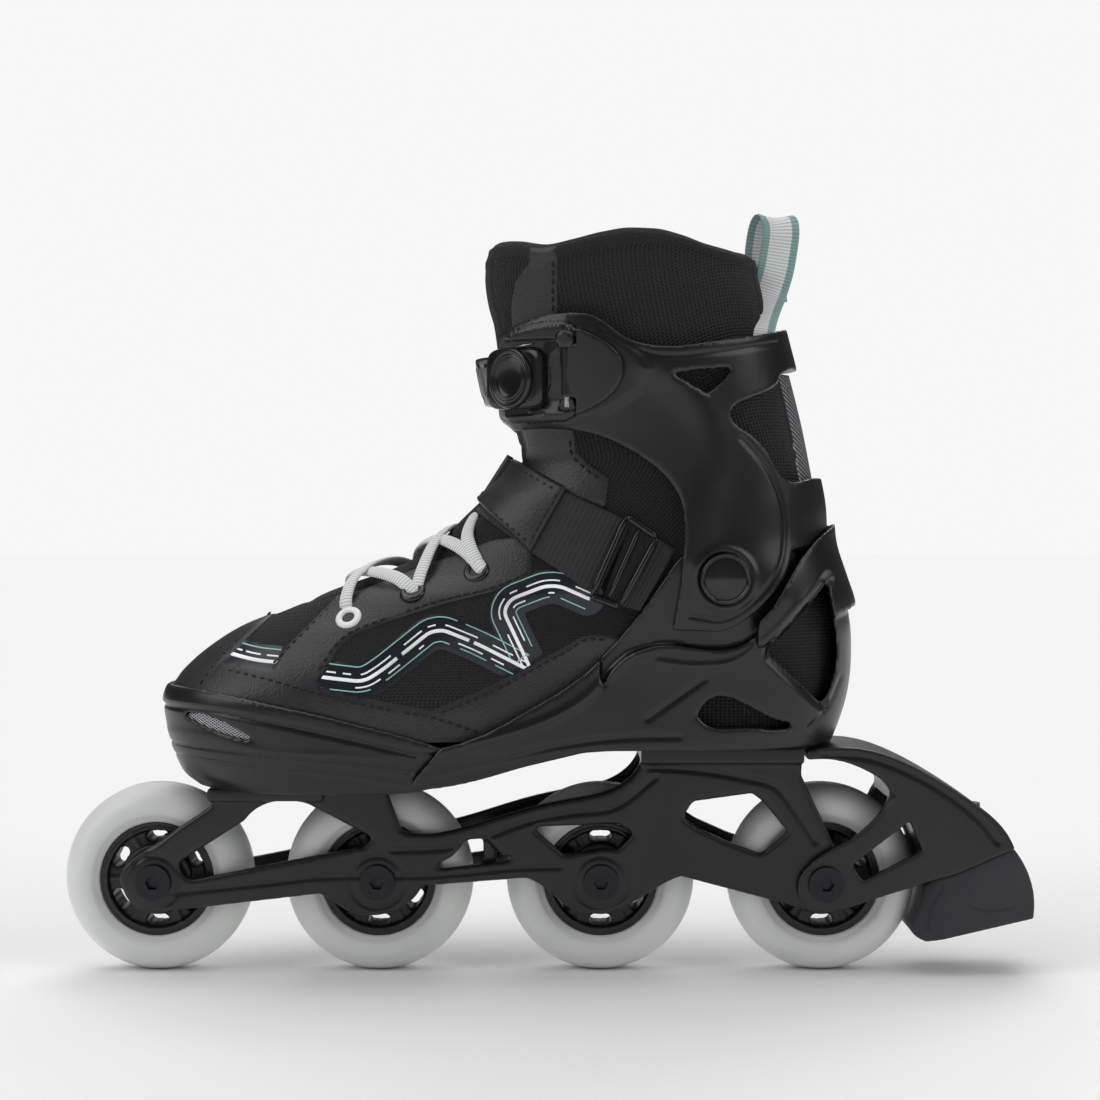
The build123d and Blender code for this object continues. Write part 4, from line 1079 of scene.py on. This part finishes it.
def build_stitching():
    for name, seams, toe_side in (("toe_stitching", SEAMS_TOE, True),
                                  ("quarter_stitching", SEAMS_HEEL, False)):
        parts = []
        for line, shift in seams:
            smooth = offset_line(curve_points(line, 1.0), shift)
            for side in (-1, 1):
                parts.append(stitch_parts(smooth, 1.3, side))
        piece = merged(name, parts, THREAD, None)
        blended(piece, toe_side)


def dash_spans(length, pattern):
    """Start and end of each dash in a repeating pattern of (dash, gap)."""
    at = 0.0
    spans = []
    k = 0
    while at < length:
        dash, gap = pattern[k % len(pattern)]
        spans.append((at, min(length, at + dash)))
        at += dash + gap
        k += 1
    return spans


def print_line(line, shift, width, pattern, grow=0.55):
    """A printed dashed line that runs beside a guide line, on both sides of the boot."""
    guide = offset_line(rounded_line(line, 5.0), shift)
    run = np.concatenate([[0], np.cumsum(np.linalg.norm(np.diff(guide, axis=0), axis=1))])
    parts = []
    for start, end in dash_spans(run[-1], pattern):
        at = np.arange(start, end, 0.8)
        if len(at) < 3:
            continue
        path = np.stack([np.interp(at, run, guide[:, k]) for k in (0, 1)], axis=1)
        for side in (-1, 1):
            parts.append(ribbon_parts(path, width, grow, side, thick=0.1))
    return parts


def build_print():
    """Generic racing lines on the film: one bold white line with thin teal and white companions."""
    solid = [(400, 0)]
    white = print_line(FILM_LINE, 0.3, 1.35, [(36, 1.6), (30, 1.6), (200, 0)])
    white += print_line(FILM_LINE, 2.6, 0.6, [(9, 2.5), (4, 3), (14, 6)])
    white += print_line(FILM_LINE, -2.3, 0.6, [(3, 14), (11, 3), (6, 9)])
    teal = print_line(FILM_LINE, 5.6, 0.5, [(62, 3), (34, 5), (60, 4)])
    teal += print_line(FILM_LINE, -3.9, 0.5, [(24, 6), (30, 4), (12, 3)])
    toe_white = print_line(FILM_TOE, -0.8, 1.3, solid) + print_line(FILM_TOE, 1.4, 0.6, [(5, 1.5), (7, 2)])
    toe_teal = print_line(FILM_TOE, 3.8, 0.5, solid)
    groups = (("film_print_white", white, WHITE_PRINT, False), ("film_print_teal", teal, TEAL_PRINT, False),
              ("toe_print_white", toe_white, WHITE_PRINT, True),
              ("toe_print_teal", toe_teal, TEAL_PRINT, True))
    for name, parts, material, toe_side in groups:
        piece = merged(name, parts, material, None)
        if toe_side:
            blended(piece, True)
        else:
            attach(piece, "skate_base")


def lie_on_boot(points, grow, side):
    """3-D points on the boot's surface from side-view points."""
    pts = np.asarray(points, float)
    return surface_frame(pts[:, 0], pts[:, 1], grow, side)


EYELETS = [(-77.1, 144.6), (-52.0, 154.6), (-27.0, 163.0)]


def eyelet_ring(x, z, side):
    """One dished ring with a rolled edge, lying on the eyestay."""
    point, n = lie_on_boot([(x, z)], 1.0, side)
    p, up = point[0], n[0]
    a = np.cross(up, (0, 0, 1.0))
    a /= np.linalg.norm(a)
    b = np.cross(up, a)
    profile = [(2.6, -0.2), (2.5, 0.6), (3.1, 1.2), (4.4, 1.25), (5.1, 0.8), (5.4, 0.0), (5.0, -0.5),
               (3.0, -0.5)]
    verts = []
    steps = 32
    for s in range(steps):
        w = 2 * math.pi * s / steps
        for r, h in profile:
            verts.append(p + (math.cos(w) * a + math.sin(w) * b) * r + up * h)
    m = len(profile)
    faces = [(s * m + i, s * m + (i + 1) % m, ((s + 1) % steps) * m + (i + 1) % m, ((s + 1) % steps) * m + i)
             for s in range(steps) for i in range(m)]
    return verts, faces


def build_eyelets():
    """White ring eyelets at the front pair of holes and black ones at the rest."""
    front = merged("eyelet_rings_white", [eyelet_ring(*EYELETS[0], side) for side in (-1, 1)], EYELET_WHITE,
                   "skate_base")
    rest = merged("eyelet_rings_black", [eyelet_ring(x, z, side) for x,
                                         z in EYELETS[1:] for side in (-1, 1)], GLOSS,
                  "skate_base")
    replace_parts(front, "eyelets")
    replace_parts(rest, "eyelets")


LACE_STEP = 1.2
# The lace's runs: from one eyelet over the tongue to the next (x, y, z)
LACE_RUNS = [
    [(-77.0, -27.5, 144.5), (-78.4, -28.0, 148.0), (-78.6, -25.5, 153.0), (-76.0, -17.0, 160.2),
     (-69, -4, 165.0), (-61, 12, 165.5), (-54, 24, 161.5), (-51.0, 31.0, 154.6)],
    [(-77.0, 27.5, 144.5), (-79.5, 27.0, 149.0), (-80.8, 21.0, 156.0), (-79.0, 8.0, 160.4),
     (-73.5, -7, 162.0), (-65.5, -19, 161.8), (-57.5, -27.5, 159.6), (-51.0, -32.0, 154.2),
     (-49.5, -32.0, 152.5)],
    [(-51.0, -31.5, 155.0), (-48.5, -26.0, 164.0), (-44, -14.0, 174.5), (-38.0, 0.0, 179.5),
     (-31, 17.0, 177.0), (-27, 28.0, 169.5), (-26.0, 33.0, 164.0)],
    [(-51.0, 31.5, 155.0), (-53, 22.0, 164.5), (-51, 10.0, 171.5), (-45.5, -6.0, 175.0),
     (-38.5, -18.0, 174.2), (-31.0, -27.0, 170.2), (-25.0, -33.5, 164.0), (-23.6, -34.0, 162.5)],
    [(-26.0, -33.0, 165.0), (-29.5, -27.0, 171.5), (-31.0, -20.0, 177.5), (-28.5, -9.0, 184.5),
     (-24.5, 2.0, 188.5)],
    [(-26.0, 33.0, 165.0), (-29.5, 27.0, 171.5), (-31.0, 20.0, 177.5), (-28.5, 9.0, 184.0),
     (-25.0, -2.0, 186.5)],
]


def build_lace():
    """Flat braided lace, run by run."""
    verts, faces, runs, sides = [], [], [], []
    for run_points in LACE_RUNS:
        path = curve_points(run_points, LACE_STEP)
        ups = [(-0.45, 0.75 * np.clip(p[1] / 26, -1, 1), 0.72) for p in path]
        v, f, r, s = tube_parts(path, 5.6, 2.3, 12, ups)
        base = len(verts)
        verts.extend(v)
        faces.extend([tuple(base + i for i in face) for face in f])
        runs.extend(r)
        sides.extend(s)
    piece = make_object("lace_braid", verts, faces, LACE_CLOTH, "skate_base")
    set_attribute(piece, "run", runs)
    set_attribute(piece, "side", sides)
    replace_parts(piece, "lace")


def surface_mat(name, corners, grow, thick, material, body, around=36, along=48, side=-1, edge=1.2,
                bulge=0.0):
    """A padded strip laid on the boot between four side-view corners (a to b is its length)."""
    a, b, c, d = [np.array(p, float) for p in corners]
    length = np.linalg.norm(b - a)
    wide = np.linalg.norm(d - a)
    top, under = [], []
    run, across = [], []
    for i in range(along + 1):
        for j in range(around + 1):
            s, t = i / along, j / around
            p = (a * (1 - s) + b * s) * (1 - t) + (d * (1 - s) + c * s) * t
            rim = min(s * length, (1 - s) * length, t * wide, (1 - t) * wide)
            roll = math.sqrt(max(0.0, 1 - (1 - min(1.0, rim / edge)) ** 2))
            puff = bulge * math.sin(math.pi * s) * math.sin(math.pi * t)
            q, n = surface_frame(np.array([p[0]]), np.array([p[1]]), grow, side)
            top.append(q[0] + n[0] * (thick * (0.35 + 0.65 * roll) + puff))
            under.append(q[0] + n[0] * (thick * 0.30 * (1 - roll)))
            run.append(s * length)
            across.append((t - 0.5) * wide)
    n_top = len(top)
    faces = []
    w = around + 1
    for i in range(along):
        for j in range(around):
            k = i * w + j
            faces.append((k, k + w, k + w + 1, k + 1))
            faces.append((n_top + k, n_top + k + 1, n_top + k + w + 1, n_top + k + w))
    border = ([j for j in range(around)] + [around + i * w for i in range(along)]
              + [along * w + j for j in range(around, 0, -1)] + [i * w for i in range(along, 0, -1)])
    for k, m in zip(border, border[1:] + border[:1]):
        faces.append((k, m, n_top + m, n_top + k))
    piece = make_object(name, top + under, faces, material, body)
    set_attribute(piece, "run", run * 2)
    set_attribute(piece, "side", across * 2)
    return recalculated(piece)


def leather_material(name):
    """Smooth leather-look overlay on its own, for the strap's end pad."""
    mat, bsdf = new_material(name, (0.02, 0.02, 0.022), 0.42)
    grain = node(mat, "ShaderNodeTexVoronoi", Scale=900.0)
    wire(mat, object_coords(mat), grain.inputs["Vector"])
    wire(mat, ramp(mat, noise(mat, 55), 0.3, 0.7, (0.016, 0.016, 0.018), (0.028, 0.028, 0.031)),
         bsdf.inputs["Base Color"])
    wire(mat, spread(mat, noise(mat, 90), 0.34, 0.5), bsdf.inputs["Roughness"])
    wire(mat, bump(mat, grain.outputs["Distance"], 0.2, 0.0004), bsdf.inputs["Normal"])
    return mat


LEATHER = leather_material("strap_leather")


def build_instep_strap():
    """Hook-and-loop strap over the instep: webbing, sewn end pad, ring and anchor webbing."""
    wrap = rounded("instep_strap_form", "instep_strap", "skate_base", WEBBING, 0.7, smooth=3)
    xyz = coords(wrap)
    girth = np.degrees(np.arctan2(xyz[:, 1], xyz[:, 0] - 30)) * 0.9
    slope = (xyz[:, 2] + 0.72 * xyz[:, 0])
    set_attribute(wrap, "run", girth + 0.35 * xyz[:, 0])
    set_attribute(wrap, "side", slope * 0.8)
    surface_mat("strap_webbing", [(1.5, 197.2), (33.5, 181.8), (20.0, 154.2), (-11.5, 174.2)], 1.9,
                      1.3, WEBBING, "skate_base", around=30, along=40)
    surface_mat("strap_end_pad", [(-27.5, 190.5), (-15.5, 209.2), (8.4, 195.6), (-5.6, 170.6)], 3.0,
                      2.0, LEATHER, "skate_base", around=40, along=40, edge=1.4, bulge=0.5)
    low = surface_mat("anchor_webbing", [(33.2, 182.5), (50.5, 171.5), (36.5, 148.0), (22.0, 152.2)], 1.4,
                      1.2, WEBBING, "skate_base", around=30, along=24)
    border = [(-25.0, 189.6), (-15.0, 205.6), (5.2, 194.0), (-6.4, 174.2), (-25.0, 189.6)]
    parts = []
    for p, q in zip(border, border[1:]):
        line = [np.array(p) * (1 - t) + np.array(q) * t for t in np.linspace(0.04, 0.96, 20)]
        parts.append(stitch_parts(line, 5.25, -1, gap=2.9, length=1.9))
    merged("strap_pad_stitching", parts, THREAD, "skate_base")
    outer = [(17.6, 153.6), (28.6, 149.6), (43.2, 176.4), (31.4, 184.6)]
    bars = []
    outline_bars = [(outer[0], outer[3], 2.6), (outer[1], outer[2], 2.6), (outer[0], outer[1], 2.8),
                    (outer[3], outer[2], 2.8), ((24.2, 152.6), (36.6, 180.2), 2.2)]
    for p, q, width in outline_bars:
        line = np.array([np.array(p) * (1 - t) + np.array(q) * t for t in np.linspace(0, 1, 18)])
        point, n = lie_on_boot(line, 4.6, -1)
        v, f, _, _ = tube_parts(point, width, 2.6, 10, n)
        bars.append((v, f))
    ring = merged("strap_ring_form", bars, GLOSS, "skate_base")
    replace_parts(ring, "strap_ring")
    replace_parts(low, "strap_anchor")


def build_pull_loop():
    """Folded webbing loop, white with coloured edges, sewn to the back of the shaft."""
    near = [(82.6, 253, -0.5), (83.6, 259, -0.5), (86.6, 266.5, -0.5), (90.0, 274.5, -0.2), (92.6, 283, 0.0),
            (94.2, 292, 0.0), (94.9, 298.5, 0.0)]
    route = []
    for x, z, lift in near:
        inside = -float(half_y(np.array([x]), np.array([min(z, 288.0)]), -0.6)[0])
        route.append((x, min(-4.4, inside * ease(np.array([291.0 - z]), 0, 16)[0] - 1.0) + lift, z))
    route += [(94.4, -2.8, 303.0), (92.6, 0.2, 304.6), (90.6, 3.0, 302.6), (89.2, 4.4, 297.0),
              (88.4, 4.4, 288), (89.6, 4.4, 278), (91.2, 3.5, 270)]
    path = curve_points(route)
    tangent = np.gradient(path, axis=0)
    tangent /= np.linalg.norm(tangent, axis=1, keepdims=True)
    run = np.concatenate([[0], np.cumsum(np.linalg.norm(np.diff(path, axis=0), axis=1))])
    verts, faces, runs, sides = [], [], [], []
    half = 7.4
    columns = 26
    for p, t, at in zip(path, tangent, run):
        wide = np.array((1.0, 0.0, 0.0)) - t * t[0]
        wide /= np.linalg.norm(wide)
        up = np.cross(t, wide)
        for layer in (0.5, -0.5):
            for k in range(columns + 1):
                across_by = -half + 2 * half * k / columns
                roll = 1 - max(0.0, (abs(across_by) - half + 0.6) / 0.6) * 0.8
                verts.append(p + wide * across_by + up * layer * roll)
                runs.append(at)
                sides.append(across_by)
    w = columns + 1
    for i in range(len(path) - 1):
        for k in range(columns):
            a = i * 2 * w + k
            faces.append((a, a + 1, a + 2 * w + 1, a + 2 * w))
            faces.append((a + w, a + 3 * w, a + 3 * w + 1, a + w + 1))
        for edge in (0, columns):
            a = i * 2 * w + edge
            faces.append((a, a + 2 * w, a + 3 * w, a + w))
    piece = make_object("pull_loop_webbing", verts, faces, LOOP_CLOTH, "ankle_cuff")
    set_attribute(piece, "run", runs)
    set_attribute(piece, "side", sides)
    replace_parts(recalculated(piece), "pull_loop")


def build_vents():
    """Diamond wire mesh in the toe vents."""
    parts = []
    vent = [(-143, 106.6), (-134.1, 107.4), (-122, 103.6), (-110.3, 97.5), (-122, 99.5), (-132, 102.5)]
    for slant in (1, -1):
        for start in np.arange(-190, -60, 1.7):
            line = []
            for t in np.arange(0, 60, 0.5):
                p = (start + t, 85 + (t * 0.62 if slant > 0 else 37 - t * 0.62))
                if inside_depth(vent, np.array([p[0]]), np.array([p[1]]))[0] > -0.6:
                    line.append(p)
            if len(line) > 3:
                for side in (-1, 1):
                    point, n = lie_on_boot(line, 1.9, side)
                    v, f, _, _ = tube_parts(point, 0.42, 0.42, 5, n)
                    parts.append((v, f))
    piece = merged("toe_vent_wire", parts, SILVER, "toe_slider")
    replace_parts(piece, "toe_vent_meshes")


def finish_cad_nodes():
    """Materials of the CAD nodes that stay."""
    keep = {"bearing_inner_races": STEEL, "axle_spacers": STEEL, "axle_bolts": BLACK_STEEL,
            "axle_sleeve_nuts": BLACK_STEEL, "boot_mount_bolts": BLACK_STEEL, "brake_pad_screw": BLACK_STEEL,
            "cuff_pivot_rivets": BLACK_STEEL, "buckle_pin": STEEL, "buckle_spring": STEEL,
            "ladder_strap_screw": BLACK_STEEL, "size_lock_button": GLOSS}
    for i in range(1, 5):
        keep[f"wheel_{i}_bearings"] = STEEL
    for name, material in keep.items():
        item = bpy.data.objects[name]
        if not item.data.materials:
            item.data.materials.append(material)
        for slot in item.material_slots:
            slot.material = material


# ---------------------------------------------------------------- studio

CAMERA_DISTANCE = 0.900
CAMERA_RISE = math.radians(1.5)
VIEW_CENTRE = Vector((0.0018, 0.0, 0.1704))
VIEW_WIDTH = 0.44704


def build_studio():
    """Camera square to the side, a broad overhead light, two side lights and a pale seamless floor."""
    scene = bpy.context.scene
    camera = bpy.data.objects.new("camera", bpy.data.cameras.new("camera"))
    scene.collection.objects.link(camera)
    camera.data.sensor_width = 36
    camera.data.lens = 36 * CAMERA_DISTANCE / VIEW_WIDTH
    back = Vector((0, -math.cos(CAMERA_RISE), math.sin(CAMERA_RISE)))
    camera.location = VIEW_CENTRE + back * CAMERA_DISTANCE
    camera.rotation_euler = (VIEW_CENTRE - camera.location).to_track_quat("-Z", "Y").to_euler()
    scene.camera = camera

    def soft_sun(name, toward, strength, spread_degrees):
        lamp = bpy.data.objects.new(name, bpy.data.lights.new(name, "SUN"))
        lamp.data.energy = strength
        lamp.data.angle = math.radians(spread_degrees)
        lamp.rotation_euler = Vector(toward).to_track_quat("Z", "Y").to_euler()
        scene.collection.objects.link(lamp)

    soft_sun("overhead", (-0.10, 0.12, 1.0), 1.25, 60)
    soft_sun("front_fill", (0.0, -1.0, 0.35), 0.22, 150)
    soft_sun("left_side", (-1.0, -0.45, 0.75), 0.85, 42)
    soft_sun("right_side", (1.0, -0.35, 0.70), 0.75, 42)
    soft_sun("back_rim", (0.15, 1.0, 0.85), 0.8, 45)

    world = bpy.data.worlds.new("studio")
    world.use_nodes = True
    nodes = world.node_tree.nodes
    room = nodes["Background"]
    room.inputs["Color"].default_value = (0.93, 0.93, 0.93, 1)
    room.inputs["Strength"].default_value = 0.08
    sweep = nodes.new("ShaderNodeBackground")
    sweep.inputs["Color"].default_value = (0.93, 0.93, 0.93, 1)
    path = nodes.new("ShaderNodeLightPath")
    choose = nodes.new("ShaderNodeMixShader")
    links = world.node_tree.links
    links.new(path.outputs["Is Camera Ray"], choose.inputs[0])
    links.new(room.outputs[0], choose.inputs[1])
    links.new(sweep.outputs[0], choose.inputs[2])
    links.new(choose.outputs[0], nodes["World Output"].inputs["Surface"])
    scene.world = world
    scene.view_settings.view_transform = "Standard"

    mesh = bpy.data.meshes.new("floor")
    size = 6.0
    mesh.from_pydata([(-size, -size, 0), (size, -size, 0), (size, size, 0), (-size, size, 0)], [],
                     [(0, 1, 2, 3)])
    floor = bpy.data.objects.new("floor", mesh)
    scene.collection.objects.link(floor)
    paper, _ = new_material("paper", (0.955, 0.955, 0.955), 0.9, spec=0.0)
    mesh.materials.append(paper)


build_wheels()
build_frame()
build_brake()
build_heel_shell()
build_toe_shell()
build_cuff()
build_buckle()
build_sock()
build_stitching()
build_print()
build_eyelets()
build_lace()
build_instep_strap()
build_pull_loop()
build_vents()
finish_cad_nodes()
build_studio()
